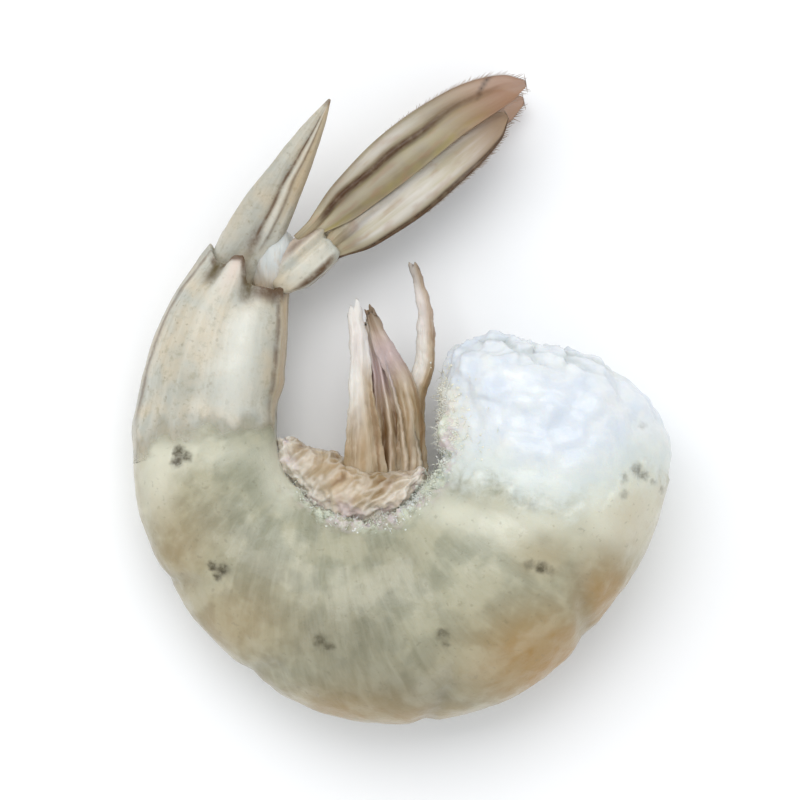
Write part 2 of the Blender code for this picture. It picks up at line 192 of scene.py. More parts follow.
def smooth_step(low, high, t):
    u = np.clip((np.asarray(t, float) - low) / (high - low), 0, 1)
    return u * u * (3 - 2 * u)


def bell(distance, width):
    return np.exp(-((np.asarray(distance, float) / width) ** 2))


def heading_vector(heading, tilt=0.0):
    """The way that a heading points, anticlockwise from +X as seen from above, and tilted up."""
    h, t = math.radians(heading), math.radians(tilt)
    return Vector((math.cos(h) * math.cos(t), math.sin(h) * math.cos(t), math.sin(t)))


class Spine:
    """The middle of the body by travel, with the section's depth and width along it."""

    SAMPLES = 40  # between two stations
    BATCH = 4000  # points located at a time

    def __init__(self, stations):
        backs = self.smooth([(s.back_x, s.back_y) for s in stations])
        bellies = self.smooth([(s.belly_x, s.belly_y) for s in stations])
        self.middles = (backs + bellies) / 2
        steps = np.linalg.norm(np.diff(self.middles, axis=0), axis=1)
        self.run = np.concatenate([[0.0], np.cumsum(steps)])
        self.places = {s.name: float(self.run[i * self.SAMPLES]) for i, s in enumerate(stations)}
        self.widths = [(self.places[s.name], s.width) for s in stations]
        self.depths = np.linalg.norm(backs - self.middles, axis=1)
        self.to_back = (backs - self.middles) / self.depths[:, None]

    def smooth(self, points):
        """A Catmull-Rom curve through the points."""
        points = np.array(points)
        before, after = 2 * points[:1] - points[1:2], 2 * points[-1:] - points[-2:-1]
        points = np.concatenate([before, points, after])
        line = []
        for a, b, c, d in zip(points, points[1:], points[2:], points[3:]):
            for t in np.arange(self.SAMPLES) / self.SAMPLES:
                bend, twist = 2 * a - 5 * b + 4 * c - d, 3 * b - a - 3 * c + d
                line.append((2 * b + (c - a) * t + bend * t**2 + twist * t**3) / 2)
        return np.array([*line, points[-2]])

    def at(self, line, travel):
        """The line's x and y at this travel."""
        return np.stack([np.interp(travel, self.run, line[:, i]) for i in (0, 1)], axis=-1)

    def width(self, travel):
        return ease(self.widths, travel)

    def height(self, travel):
        """Height of the body's middle above the table."""
        low, high = self.places["joint_6_5"], self.places["joint_4_3"]
        share = ease(((low, 0.0), (high, 1.0)), travel)
        return TAIL_RISE * (1 - share) + (self.width(travel) / 2 - PRESSED) * share

    def section(self, travel, grow=0.0):
        """The section at this travel, whose left is the belly, made larger by grow."""
        inside = min(max(travel, 0.0), self.run[-1])
        middle = Vector((*self.at(self.middles, inside), float(self.height(inside))))
        back = Vector(self.at(self.to_back, inside))
        heading = math.degrees(math.atan2(back.y, back.x)) + 90
        depth = float(np.interp(inside, self.run, self.depths))
        middle += heading_vector(heading) * (travel - inside)
        return Section(middle, heading, depth + grow, float(self.width(inside)) / 2 + grow)

    def locate(self, points):
        """Travel, angle and distance from the middle, in half sections, of each point."""
        travel = np.empty(len(points))
        ahead = np.stack([-self.to_back[:, 1], self.to_back[:, 0]], axis=1)
        for start in range(0, len(points), self.BATCH):
            batch = slice(start, start + self.BATCH)
            part = points[batch, None, :2] - self.middles[None]
            along = (part * ahead).sum(axis=2)
            far = np.linalg.norm(part, axis=2)
            crossed = (along[:, :-1] >= 0) & (along[:, 1:] < 0)
            cost = np.where(crossed, far[:, :-1], np.inf)
            best = cost.argmin(axis=1)
            rows = np.arange(len(part))
            a, b = along[rows, best], along[rows, best + 1]
            step = self.run[best + 1] - self.run[best]
            place = self.run[best] + step * a / np.maximum(a - b, 1e-9)
            to_root = np.where(along[:, 0] < 0, far[:, 0], np.inf)
            to_neck = np.where(along[:, -1] >= 0, far[:, -1], np.inf)
            past_end = np.minimum(to_root, to_neck) < cost[rows, best]
            past = np.where(to_root < to_neck, along[:, 0], self.run[-1] + along[:, -1])
            travel[batch] = np.where(past_end, past, place)
        inside = np.clip(travel, 0, self.run[-1])
        apart = points[:, :2] - self.at(self.middles, inside)
        depth = np.interp(inside, self.run, self.depths)
        across = (apart * self.at(self.to_back, inside)).sum(axis=1) / depth
        up = (points[:, 2] - self.height(inside)) / (self.width(inside) / 2)
        angle = np.degrees(np.arctan2(np.abs(up), across))
        return travel, angle, np.hypot(across, up)


SPINE = Spine(STATIONS)
TAIL_FRONT = SPINE.places["joint_6_5"]
NECK = SPINE.places["neck"]


# Modelling by hand: small helpers round Blender's own operators


def only(obj):
    """Selects this object and nothing else."""
    bpy.ops.object.select_all(action="DESELECT")
    if obj is not None:
        obj.select_set(True)
    bpy.context.view_layer.objects.active = obj


def new_piece(name):
    obj = bpy.context.object
    obj.name = obj.data.name = name
    return obj


def turn(degrees, centre):
    """Turns what is selected anticlockwise, seen from above, round an upright line through the centre."""
    bpy.ops.transform.rotate(value=-math.radians(degrees), orient_axis="Z", center_override=centre)


def sweep(name, sections, sides, outline=None):
    """A closed tube: a disc is extruded from section to section, and turned and stretched at each.

    outline(across, up) gives the disc's own outline, which is round without it."""
    only(None)
    upright = (0, math.pi / 2, 0)
    bpy.ops.mesh.primitive_circle_add(vertices=sides, radius=1.0, fill_type="NGON", rotation=upright)
    obj = new_piece(name)
    bpy.ops.object.transform_apply(rotation=True)
    if outline:
        for vertex in obj.data.vertices:
            vertex.co = (0, *outline(vertex.co.y, vertex.co.z))
    bpy.ops.object.mode_set(mode="EDIT")
    bpy.ops.mesh.select_all(action="SELECT")
    first = sections[0]
    bpy.ops.transform.resize(value=(1, first.across, first.up), center_override=(0, 0, 0))
    turn(first.heading, (0, 0, 0))
    bpy.ops.transform.translate(value=first.middle)
    for last, here in zip(sections, sections[1:]):
        bpy.ops.mesh.extrude_region_move(TRANSFORM_OT_translate={"value": here.middle - last.middle})
        turn(-last.heading, here.middle)
        stretch = (1, here.across / last.across, here.up / last.up)
        bpy.ops.transform.resize(value=stretch, center_override=here.middle)
        turn(here.heading, here.middle)
    bpy.ops.mesh.select_all(action="SELECT")
    bpy.ops.mesh.normals_make_consistent(inside=False)
    bpy.ops.object.mode_set(mode="OBJECT")
    return obj


def apply(obj, kind, **settings):
    modifier = obj.modifiers.new(kind.lower(), kind)
    for key, value in settings.items():
        setattr(modifier, key, value)
    only(obj)
    bpy.ops.object.modifier_apply(modifier=modifier.name)


def subdivide(obj, levels):
    apply(obj, "SUBSURF", levels=levels, render_levels=levels)


def points_of(obj):
    co = np.empty(len(obj.data.vertices) * 3, np.float32)
    obj.data.vertices.foreach_get("co", co)
    return co.reshape(-1, 3).astype(float)


def normals_of(obj):
    obj.data.update()
    normals = np.empty(len(obj.data.vertices) * 3, np.float32)
    obj.data.vertex_normals.foreach_get("vector", normals)
    return normals.reshape(-1, 3).astype(float)


def move_points(obj, co):
    obj.data.vertices.foreach_set("co", np.asarray(co, np.float32).ravel())
    obj.data.update()


def push_out(obj, height):
    """Moves each point out by its height, along the surface's normal."""
    move_points(obj, points_of(obj) + normals_of(obj) * height[:, None])


def mark(obj, **marks):
    """Stores numbers that the material reads by name: one for each point, or one for all of them."""
    every_point = np.ones(len(obj.data.vertices), np.float32)
    for name, values in marks.items():
        attribute = obj.data.attributes.get(name) or obj.data.attributes.new(name, "FLOAT", "POINT")
        attribute.data.foreach_set("value", every_point * np.asarray(values, np.float32))


def lumps(points, size, seed=0.0, octaves=2):
    """Soft random relief from about -1 to 1, whose lumps are size apart."""
    shift = Vector((seed, seed * 1.7, -seed))
    return np.array([noise.fractal(Vector(p) / size + shift, 0.8, 2.1, octaves) for p in points])


def cells(points, size, seed=0.0):
    """Distance to the nearest cell wall, 0 on it: the bundles of a torn muscle."""
    shift = Vector((seed, -seed, seed * 0.6))
    found = []
    for p in points:
        near = noise.voronoi(Vector(p) / size + shift)[0]
        found.append(near[1] - near[0])
    return np.array(found)


def surface_of(name):
    """A finished piece's surface, to find the nearest point on it."""
    mesh = bpy.data.objects[name].data
    return BVHTree.FromPolygons([v.co for v in mesh.vertices], [f.vertices for f in mesh.polygons])


def copy_of(first, matrix):
    """A copy with a mesh of its own, which the matrix sets in its place."""
    piece = first.copy()
    piece.data = first.data.copy()
    piece.data.transform(matrix)
    bpy.context.collection.objects.link(piece)
    return piece


def finish_piece(obj, material, slot, *nodes):
    """Sets the piece down in metres at its place, and ties it to the frame."""
    obj.data.transform(Matrix.Scale(MM, 4) @ Matrix.Translation(BOX_SHIFT))
    obj.data.update()
    obj.data.materials.clear()
    obj.data.materials.append(material)
    obj.data.shade_smooth()
    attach(obj, "root")
    if nodes:
        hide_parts(*nodes)


def join(name, pieces):
    only(pieces[0])
    for piece in pieces:
        piece.select_set(True)
    bpy.ops.object.join()
    return new_piece(name)


# Materials


class Shading:
    """A node tree being built, with short words for its nodes."""

    def __init__(self, tree):
        self.tree = tree

    def node(self, kind, **settings):
        node = self.tree.nodes.new(kind)
        for key, value in settings.items():
            setattr(node, key, value)
        return node

    def link(self, source, target):
        self.tree.links.new(source, target)

    def feed(self, socket, value):
        if isinstance(value, bpy.types.NodeSocket):
            self.link(value, socket)
        else:
            socket.default_value = value

    def maths(self, operation, a, b, clamp=False):
        node = self.node("ShaderNodeMath", operation=operation, use_clamp=clamp)
        self.feed(node.inputs[0], a)
        self.feed(node.inputs[1], b)
        return node.outputs[0]

    def times(self, a, b, clamp=False):
        return self.maths("MULTIPLY", a, b, clamp)

    def vector_maths(self, operation, *vectors):
        node = self.node("ShaderNodeVectorMath", operation=operation)
        for socket, vector in zip(node.inputs, vectors):
            self.feed(socket, vector)
        return node.outputs["Value" if operation == "LENGTH" else "Vector"]

    def ramp(self, value, low, high, to_low=0.0, to_high=1.0):
        """The value brought smoothly from low..high to to_low..to_high."""
        node = self.node("ShaderNodeMapRange", interpolation_type="SMOOTHSTEP")
        for i, number in enumerate((value, low, high, to_low, to_high)):
            self.feed(node.inputs[i], number)
        return node.outputs[0]

    def mix(self, share, a, b):
        """A colour between a and b."""
        node = self.node("ShaderNodeMix", data_type="RGBA")
        self.feed(node.inputs[0], share)
        self.feed(node.inputs[6], a if isinstance(a, bpy.types.NodeSocket) else (*a, 1))
        self.feed(node.inputs[7], b if isinstance(b, bpy.types.NodeSocket) else (*b, 1))
        return node.outputs[2]

    def place(self):
        return self.node("ShaderNodeTexCoord").outputs["Object"]

    def mark(self, name):
        return self.node("ShaderNodeAttribute", attribute_name=name).outputs["Fac"]

    def clouds(self, vector, size, detail=3.0, roughness=0.55, distortion=0.0):
        """Noise from 0 to 1 whose lumps are about size millimetres apart."""
        node = self.node("ShaderNodeTexNoise")
        self.feed(node.inputs["Vector"], vector)
        node.inputs["Scale"].default_value = 1 / (size * MM)
        node.inputs["Detail"].default_value = detail
        node.inputs["Roughness"].default_value = roughness
        node.inputs["Distortion"].default_value = distortion
        return node.outputs[0]

    def combine(self, *numbers):
        node = self.node("ShaderNodeCombineXYZ")
        for socket, value in zip(node.inputs, numbers):
            self.feed(socket, value)
        return node.outputs[0]

    def bump(self, height, depth, strength=1.0):
        """A surface normal from a height of 0 to 1 that stands for depth millimetres."""
        node = self.node("ShaderNodeBump")
        node.inputs["Strength"].default_value = strength
        node.inputs["Distance"].default_value = depth * MM
        self.feed(node.inputs["Height"], height)
        return node.outputs[0]

    def group(self, name, **values):
        """A shared node group, made when it is first wanted."""
        tree = bpy.data.node_groups.get(name) or GROUP_MAKERS[name]()
        node = self.node("ShaderNodeGroup", node_tree=tree)
        for label, value in values.items():
            self.feed(node.inputs[label], value)
        return node.outputs

    def fibres(self, length):
        """Streaks along the piece's own travel."""
        vector = self.combine(self.mark("travel"), self.mark("girth"))
        return self.group("fibres", Vector=vector, Length=length)


class Wet(Shading):
    """A wet material being built. subsurface is (weight, depth in millimetres)."""

    def __init__(self, name, roughness, subsurface, coat):
        self.material = bpy.data.materials.new(name)
        self.material.use_nodes = True
        super().__init__(self.material.node_tree)
        self.inputs = self.tree.nodes["Principled BSDF"].inputs
        settings = {
            "Roughness": roughness,
            "Subsurface Weight": subsurface[0],
            "Subsurface Radius": (1.0, 0.75, 0.55),
            "Subsurface Scale": subsurface[1] * MM,
            "IOR": 1.38,
            "Coat Weight": coat,
            "Coat Roughness": 0.16,
        }
        for label, value in settings.items():
            self.inputs[label].default_value = value

    def finish(self, colour, **others):
        """Feeds the shader's colour and others of its inputs."""
        self.link(colour, self.inputs["Base Color"])
        for label, source in others.items():
            self.link(source, self.inputs[label])
        return self.material


def new_group(name, inputs, outputs):
    """A node group with its sockets. inputs and outputs are {name: default}, where None is a vector."""
    tree = bpy.data.node_groups.new(name, "ShaderNodeTree")
    for direction, sockets in (("INPUT", inputs), ("OUTPUT", outputs)):
        for label, default in sockets.items():
            kind = "NodeSocketVector" if default is None else "NodeSocketFloat"
            socket = tree.interface.new_socket(label, in_out=direction, socket_type=kind)
            if default is not None:
                socket.default_value = default
    shading = Shading(tree)
    return tree, shading, shading.node("NodeGroupInput").outputs, shading.node("NodeGroupOutput").inputs


def mottle_group():
    """Cloudy patches at two sizes and a fine grain, as in skin and flesh."""
    outputs = {"Patches": 0.5, "Flecks": 0.0, "Grain": 0.5}
    tree, s, given, out = new_group("mottle", {"Vector": None}, outputs)
    broad = s.clouds(given["Vector"], 4.2, 2, 0.5, 0.6)
    small = s.clouds(given["Vector"], 1.7, 2, 0.5, 0.3)
    mixed = s.maths("ADD", s.times(broad, 0.62), s.times(small, 0.38))
    s.link(s.ramp(mixed, 0.34, 0.66), out["Patches"])
    s.link(s.ramp(s.clouds(given["Vector"], 0.55, 2, 0.5), 0.62, 0.74), out["Flecks"])
    s.link(s.clouds(given["Vector"], 0.32, 3, 0.6), out["Grain"])
    return tree


def fibre_group():
    """Fine streaks that run along X of the vector, given in millimetres along and across."""
    outputs = {"Streaks": 0.5, "Threads": 0.5}
    tree, s, given, out = new_group("fibres", {"Vector": None, "Length": 5.0}, outputs)
    shorter = s.vector_maths("DIVIDE", given["Vector"], s.combine(given["Length"], 1.0, 1.0))
    s.link(s.ramp(s.clouds(shorter, 1.1 / MM, 3, 0.6, 0.4), 0.34, 0.68), out["Streaks"])
    s.link(s.clouds(shorter, 0.28 / MM, 2, 0.6), out["Threads"])
    return tree


def spot_group():
    """One small dark mark that goes right through: 1 in its middle, 0 outside its radius."""
    inputs = {"Vector": None, "X": 0.0, "Y": 0.0, "Radius": 0.5, "Strength": 1.0}
    tree, s, given, out = new_group("spot", inputs, {"Mark": 0.0})
    apart = s.vector_maths("SUBTRACT", given["Vector"], s.combine(given["X"], given["Y"]))
    far = s.vector_maths("LENGTH", s.vector_maths("MULTIPLY", apart, (1, 1, 0)))
    share = s.maths("DIVIDE", far, given["Radius"])
    uneven = s.ramp(s.clouds(given["Vector"], 0.55, 3, 0.6), 0.3, 0.65, 0.5, 1.0)
    smudge = s.times(s.ramp(share, 0.25, 1.5, 1.0, 0.0), uneven)
    s.link(s.times(smudge, given["Strength"]), out["Mark"])
    return tree


GROUP_MAKERS = {"mottle": mottle_group, "fibres": fibre_group, "spot": spot_group}


def flesh_material(colours):
    """Grey and golden skin with painted shade and light in patches and in the joint creases, white bare
    muscle, and the torn edge along the belly.
    """
    s = Wet("raw_flesh_skin", 0.34, (0.35, 1.6), 0.4)
    place = s.place()
    mottle = s.group("mottle", Vector=place)
    slant = s.maths("ADD", s.mark("travel"), s.times(s.mark("girth"), 0.3))
    body = s.group("fibres", Vector=s.combine(s.mark("girth"), slant), Length=3.5)
    skin = s.mix(s.ramp(mottle["Patches"], 0.0, 1.0, 0.15, 0.8), colours.skin_grey, colours.skin_pale)
    # The tone patches: painted light towards the paler colour and painted shade towards the darker, over the
    # skin's own uneven tone
    skin = s.mix(s.ramp(s.mark("tone"), 0.0, 1.0), skin, colours.skin_streaks_and_painted_light)
    skin = s.mix(s.ramp(s.mark("tone"), 0.0, -1.0, 0.0, 0.6), skin, colours.skin_dark)
    skin = s.mix(s.times(body["Streaks"], 0.14), skin, colours.skin_streaks_and_painted_light)
    warm = s.times(s.mark("warm"), s.ramp(mottle["Patches"], 0.0, 1.0, 1.0, 0.75), clamp=True)
    skin = s.mix(warm, skin, colours.skin_warm)
    skin = s.mix(s.times(mottle["Flecks"], 0.25), skin, colours.skin_dark)
    # Painted shade in the joint grooves
    skin = s.mix(s.times(s.mark("crease"), 0.2), skin, colours.skin_dark)
    # The bare muscle: white, with a ragged edge to the skin
    ragged = s.times(s.maths("SUBTRACT", s.clouds(place, 1.6, 4, 0.7, 0.5), 0.5), 5.0)
    bare = s.ramp(s.maths("ADD", s.mark("muscle"), ragged), -2.2, 2.0)
    muscle = s.mix(mottle["Patches"], colours.muscle_cool, colours.muscle_white)
    near = s.times(s.ramp(s.mark("muscle"), 7.0, 0.5), 0.55)
    muscle = s.mix(near, muscle, colours.muscle_pale)
    # Darker grey in the grooves between the torn end's bundles
    muscle = s.mix(s.times(s.mark("hollow"), 0.8), muscle, colours.muscle_clear)
    fuzz = s.times(s.mark("yellow"), s.ramp(s.clouds(place, 0.9, 3, 0.6), 0.3, 0.65, 0.2, 0.9))
    muscle = s.mix(fuzz, muscle, colours.muscle_yellow)
    colour = s.mix(bare, skin, muscle)
    # The torn edge along the belly
    torn = s.times(s.mark("torn"), s.ramp(s.clouds(place, 0.8, 3, 0.7), 0.36, 0.56), clamp=True)
    frayed = s.mix(s.ramp(s.clouds(place, 1.8, 2), 0.45, 0.6), colours.muscle_pale, colours.muscle_pink)
    colour = s.mix(torn, colour, frayed)
    # The dark marks at the joints, whose outlines wobble
    wobble = s.node("ShaderNodeTexNoise")
    s.link(place, wobble.inputs["Vector"])
    wobble.inputs["Scale"].default_value = 1 / (MARK_WOBBLE_SIZE * MM)
    most = MARK_WOBBLE * MM
    small = s.vector_maths("MULTIPLY_ADD", wobble.outputs["Color"], (2 * most,) * 3, (-most,) * 3)
    where = s.vector_maths("ADD", place, small)
    for x, y, radius, strength in HINGE_MARKS:
        at = (BOX_SHIFT + Vector((x, y, 0))) * MM
        spot = s.group("spot", Vector=where, X=at.x, Y=at.y, Radius=radius * MM, Strength=strength)
        colour = s.mix(spot["Mark"], colour, colours.mark_dark)
    height = s.maths("ADD", s.times(mottle["Grain"], 0.75), s.times(body["Threads"], 0.25))
    rough = s.ramp(mottle["Patches"], 0.0, 1.0, 0.42, 0.30)
    return s.finish(colour, Roughness=rough, Normal=s.bump(height, 0.12, 0.5))


def shell_material(colours):
    """The thin, half clear shell: grey-beige with pale streaks lengthwise, fine specks, dark rims and a
    painted highlight on the middle of the flank.
    """
    s = Wet("tail_shell", 0.38, (0.2, 0.8), 0.3)
    place = s.place()
    mottle = s.group("mottle", Vector=place)
    along = s.fibres(7.0)
    colour = s.mix(mottle["Patches"], colours.shell_beige, colours.shell_grey)
    colour = s.mix(s.times(along["Streaks"], 0.28), colour, colours.shell_pale)
    specks = s.ramp(s.clouds(place, 0.7, 3, 0.65), 0.5, 0.68, 0.0, 0.4)
    colour = s.mix(specks, colour, colours.shell_dull)
    colour = s.mix(s.times(mottle["Flecks"], 0.45), colour, colours.shell_speck)
    colour = s.mix(s.mark("tan"), colour, colours.shell_tan)
    colour = s.mix(s.mark("pink"), colour, colours.shell_pink)
    # The pale mark: pale lines, and on the tail shell a painted highlight
    colour = s.mix(s.mark("pale"), colour, colours.shell_pale)
    uneven = s.ramp(s.clouds(place, 0.9, 3, 0.6), 0.2, 0.6, 0.55, 1.0)
    rim = s.times(s.mark("dark"), uneven, clamp=True)
    rim_colour = s.mix(s.mark("olive"), colours.rim_brown, colours.rim_olive)
    colour = s.mix(rim, colour, rim_colour)
    height = s.maths("ADD", s.times(mottle["Grain"], 0.5), s.times(along["Threads"], 0.5))
    rough = s.ramp(mottle["Grain"], 0.3, 0.7, 0.3, 0.46)
    return s.finish(colour, Roughness=rough, Normal=s.bump(height, 0.09, 0.6), Alpha=s.mark("cover"))


def fan_material(colours):
    """The fan's thin blades: clear brown between dark ribs, and pale where they are thinnest, with painted
    light on the endopods' upper band.
    """
    s = Wet("fan_blade", 0.38, (0.15, 0.5), 0.15)
    place = s.place()
    mottle = s.group("mottle", Vector=place)
    along = s.fibres(9.0)
    colour = s.mix(mottle["Patches"], colours.fan_brown, colours.fan_tan)
    colour = s.mix(s.times(along["Streaks"], 0.55), colour, colours.fan_light)
    colour = s.mix(s.times(s.mark("olive"), mottle["Patches"]), colour, colours.fan_olive)
    milky = s.mix(along["Streaks"], colours.fan_white, colours.fan_cream)
    colour = s.mix(s.mark("pale"), colour, milky)
    colour = s.mix(s.times(s.mark("pink"), 0.8), colour, colours.fan_pink)
    streaky = s.ramp(s.clouds(place, 0.9, 3, 0.6), 0.25, 0.6, 0.8, 1.0)
    colour = s.mix(s.times(s.mark("dark"), streaky, clamp=True), colour, colours.fan_rib)
    cover = s.ramp(s.mark("thick"), 0.0, 1.0, 0.72, 1.0)
    return s.finish(colour, Normal=s.bump(along["Threads"], 0.08, 0.7), Alpha=cover)


def tissue_material(colours):
    """The torn skin of the belly: tan and brown, with paler threads lengthwise, painted shade in the troughs
    of its folds and painted light on their crests.
    """
    s = Wet("belly_tissue_skin", 0.36, (0.3, 0.9), 0.3)
    mottle = s.group("mottle", Vector=s.place())
    along = s.fibres(6.0)
    colour = s.mix(mottle["Patches"], colours.tissue_tan, colours.tissue_pink)
    streaky = s.ramp(along["Streaks"], 0.9, 0.1, 0.45, 1.0)
    colour = s.mix(s.times(s.mark("dark"), streaky), colour, colours.tissue_brown_and_fold_shade)
    colour = s.mix(s.times(along["Streaks"], 0.4), colour, colours.tissue_light)
    colour = s.mix(s.mark("pale"), colour, colours.tissue_white_and_crest_light)
    colour = s.mix(s.mark("pink"), colour, colours.tissue_lilac)
    colour = s.mix(s.times(s.mark("cool"), 0.7), colour, colours.joint_milky)
    colour = s.mix(s.mark("tip"), colour, colours.rim_brown)
    cover = s.ramp(s.mark("thick"), 0.0, 1.0, 0.78, 1.0)
    return s.finish(colour, Normal=s.bump(along["Threads"], 0.12, 0.8), Alpha=cover)


def shred_material(colours):
    """Loose white threads of torn muscle."""
    s = Wet("torn_muscle_threads", 0.34, (0.12, 0.3), 0.2)
    mottle = s.group("mottle", Vector=s.place())
    colour = s.mix(mottle["Patches"], colours.muscle_pale, colours.muscle_white)
    colour = s.mix(s.times(s.mark("pale"), 0.8), colour, colours.crumb_yellow)
    return s.finish(colour, Normal=s.bump(mottle["Grain"], 0.06, 0.6))


MATERIAL_MAKERS = {
    "flesh": flesh_material,
    "shell": shell_material,
    "fan": fan_material,
    "tissue": tissue_material,
    "shreds": shred_material,
}


def material(context, kind):
    """The material of this kind, made when it is first wanted."""
    made = context.scene.get("shrimp_materials", {})
    if kind in made and made[kind] in bpy.data.materials:
        return bpy.data.materials[made[kind]]
    new = MATERIAL_MAKERS[kind](context.scene.shrimp_colours)
    context.scene["shrimp_materials"] = {**dict(made), kind: new.name}
    return new


# Settings that a user would change


def length(name, description, default):
    default = default * MM
    return FloatProperty(name=name, description=description, default=default, unit="LENGTH", precision=5)


def colour(name, description, default):
    """A colour setting. The default is given as it looks on a screen, and is stored as Blender's own."""
    linear = [((c / 255 + 0.055) / 1.055) ** 2.4 if c > 10 else c / 255 / 12.92 for c in default]
    about = {"name": name, "description": description}
    return FloatVectorProperty(**about, default=linear, subtype="COLOR", min=0, max=1)


class ShrimpSizes(bpy.types.PropertyGroup):
    """Sizes of the finish"""

    groove: length("Joint groove", "Depth of the crease round the flesh at each joint", 0.2)
    swelling: length("Muscle swelling", "How far the muscle swells out between two joints", 0.25)
    skin: length("Skin", "Thickness of the skin that ends in a ragged edge before the neck", 0.28)
    lump: length("Torn lumps", "Height of the torn lumps on the neck end", 1.0)
    fray: length("Belly fray", "Height of the torn edge of flesh along the belly", 0.7)
    shell: length("Shell", "Thickness of the shell at its rear rim", 0.45)
    blade: length("Fan blade", "Thickness of the fan's blades at their middle", 0.4)
    thread: length("Torn threads", "Length of the longest loose threads of muscle", 2.4)
    seed: IntProperty(name="Seed", description="Start of the random draws", default=7)


class ShrimpColours(bpy.types.PropertyGroup):
    """Colours of the finish"""

    skin_grey: colour("Skin, grey", "Darker patches of the skin", (138, 139, 117))
    skin_pale: colour("Skin, pale", "Paler patches of the skin", (182, 178, 152))
    # Also the painted light of the paler tone patches
    skin_streaks_and_painted_light: colour("Skin, streaks", "Fine whitish streaks in the skin", (214, 213, 194))
    skin_warm: colour("Skin, warm", "Golden brown of the back and of thick flesh", (158, 122, 58))
    # Used for the skin's own dark flecks, and for painted shade in the joint creases and the darker tone
    # patches
    skin_dark: colour("Skin, dark", "Creases and flecks", (112, 106, 82))
    muscle_white: colour("Muscle, white", "Bare muscle", (228, 231, 231))
    muscle_cool: colour("Muscle, cool", "Bluish patches of the bare muscle", (212, 219, 227))
    muscle_pale: colour("Muscle, pale", "Greenish white next to the skin", (204, 209, 190))
    muscle_yellow: colour("Muscle, yellow", "Yellowish threads beside the belly", (226, 220, 196))
    crumb_yellow: colour("Crumbs, yellow", "Yellowish white of the torn crumbs", (240, 234, 214))
    # Darker grey in the grooves between the torn end's bundles
    muscle_clear: colour("Muscle, clear", "Clearer flesh between the torn end's bundles", (178, 186, 180))
    muscle_pink: colour("Muscle, pink", "Lilac pink of the torn edge along the belly", (206, 194, 192))
    mark_dark: colour("Marks", "Small dark marks at the joints", (72, 64, 38))
    shell_grey: colour("Shell, grey", "Grey patches of the shell", (174, 174, 162))
    shell_beige: colour("Shell, beige", "Beige patches of the shell", (193, 181, 157))
    shell_dull: colour("Shell, dull", "Duller small patches of the shell", (150, 144, 118))
    # Also the colour of the painted highlight on the tail shell's flank
    shell_pale: colour("Shell, pale", "Pale streaks of the shell", (220, 219, 208))
    shell_tan: colour("Shell, tan", "Clear tan strips of the shell", (190, 166, 128))
    shell_pink: colour("Shell, pink", "Pinkish lobe of the rear rim", (214, 196, 182))
    shell_speck: colour("Shell, specks", "Fine specks of the shell", (132, 122, 98))
    rim_brown: colour("Rims", "Brown rims, ribs and dark tips", (88, 62, 34))
    rim_olive: colour("Rims, olive", "Olive notches of the shell's rear rim", (84, 70, 32))
    fan_rib: colour("Fan, ribs", "Dark ribs and edges of the blades", (70, 42, 10))
    fan_brown: colour("Fan, brown", "Clear brown of the blades", (140, 124, 94))
    fan_tan: colour("Fan, tan", "Clear tan of the blades", (158, 143, 112))
    fan_light: colour("Fan, light", "Pale streaks of the blades", (184, 174, 146))
    # Also painted light on the endopods' upper band
    fan_white: colour("Fan, white", "Milky panels of the blades", (236, 232, 224))
    fan_cream: colour("Fan, cream", "Cream streaks of the milky panels", (208, 200, 174))
    fan_olive: colour("Fan, olive", "Olive yellow beside the lower rib", (158, 144, 82))
    fan_pink: colour("Fan, pink", "Reddish tips of the blades", (168, 122, 96))
    tissue_tan: colour("Belly, tan", "Tan of the belly's torn skin", (152, 128, 88))
    tissue_pink: colour("Belly, pink", "Pinkish patches of the belly's torn skin", (176, 150, 116))
    # Also painted shade in the troughs of the folds and pleats
    tissue_brown_and_fold_shade: colour("Belly, brown", "Dark folds of the belly's torn skin", (122, 88, 48))
    tissue_light: colour("Belly, light", "Pale threads of the belly's torn skin", (224, 212, 190))
    # Also painted light on the crests of the folds and pleats
    tissue_white_and_crest_light: colour("Belly, white", "Milky sheet of the belly's torn skin", (232, 228, 220))
    tissue_lilac: colour("Belly, lilac", "Pinkish lilac of the torn strips", (196, 176, 176))
    joint_milky: colour("Joint skin", "Milky skin between the telson and the stubs", (184, 192, 192))
    floor: colour("Floor", "The table", (250, 250, 250))


# Flesh


FLESH_TUCKED = ((-4.4, -1.2), (-3.2, -0.3), (-1.4, -0.12))  # past the shell's front, and how much larger
NECK_HEADING = 106.0
NECK_LENGTH = 9.4  # of the rounded neck end
NECK_ROUNDING = 2.7  # exponent of the neck end: 2 is a round dome, more is blunter
NECK_SHARES = (0.2, 0.4, 0.58, 0.74, 0.87, 0.96, 1.0)
NECK_RIM = (0.2, 0.1)  # size of the pit's rim and of its floor, in shares of the neck's section
NECK_PIT = 1.2  # depth of the hollow where the gut ran out
TORN_ANGLE = 156.0  # where the flesh's torn edge runs, from the back
BACK_FULLNESS = 0.10  # the section is this share wider towards the back
BELLY_HOLLOW = 0.09  # depth of the hollow along the belly, in shares of the section
MUSCLE_WANDER = 3.6  # how far the skin's edge strays on the flank that lies below
MUSCLE_WANDER_SIZE = 8.0
BUNDLES = (3.2, 7.0)  # size and seed of the bundles at the torn end


def flesh_outline(across, up):
    """The flesh's section: fuller to the back, with a hollow along the belly."""
    back = -across
    angle = math.degrees(math.atan2(abs(up), back))
    return across - BELLY_HOLLOW * float(bell(180 - angle, 16)), up * (1 + BACK_FULLNESS * back)


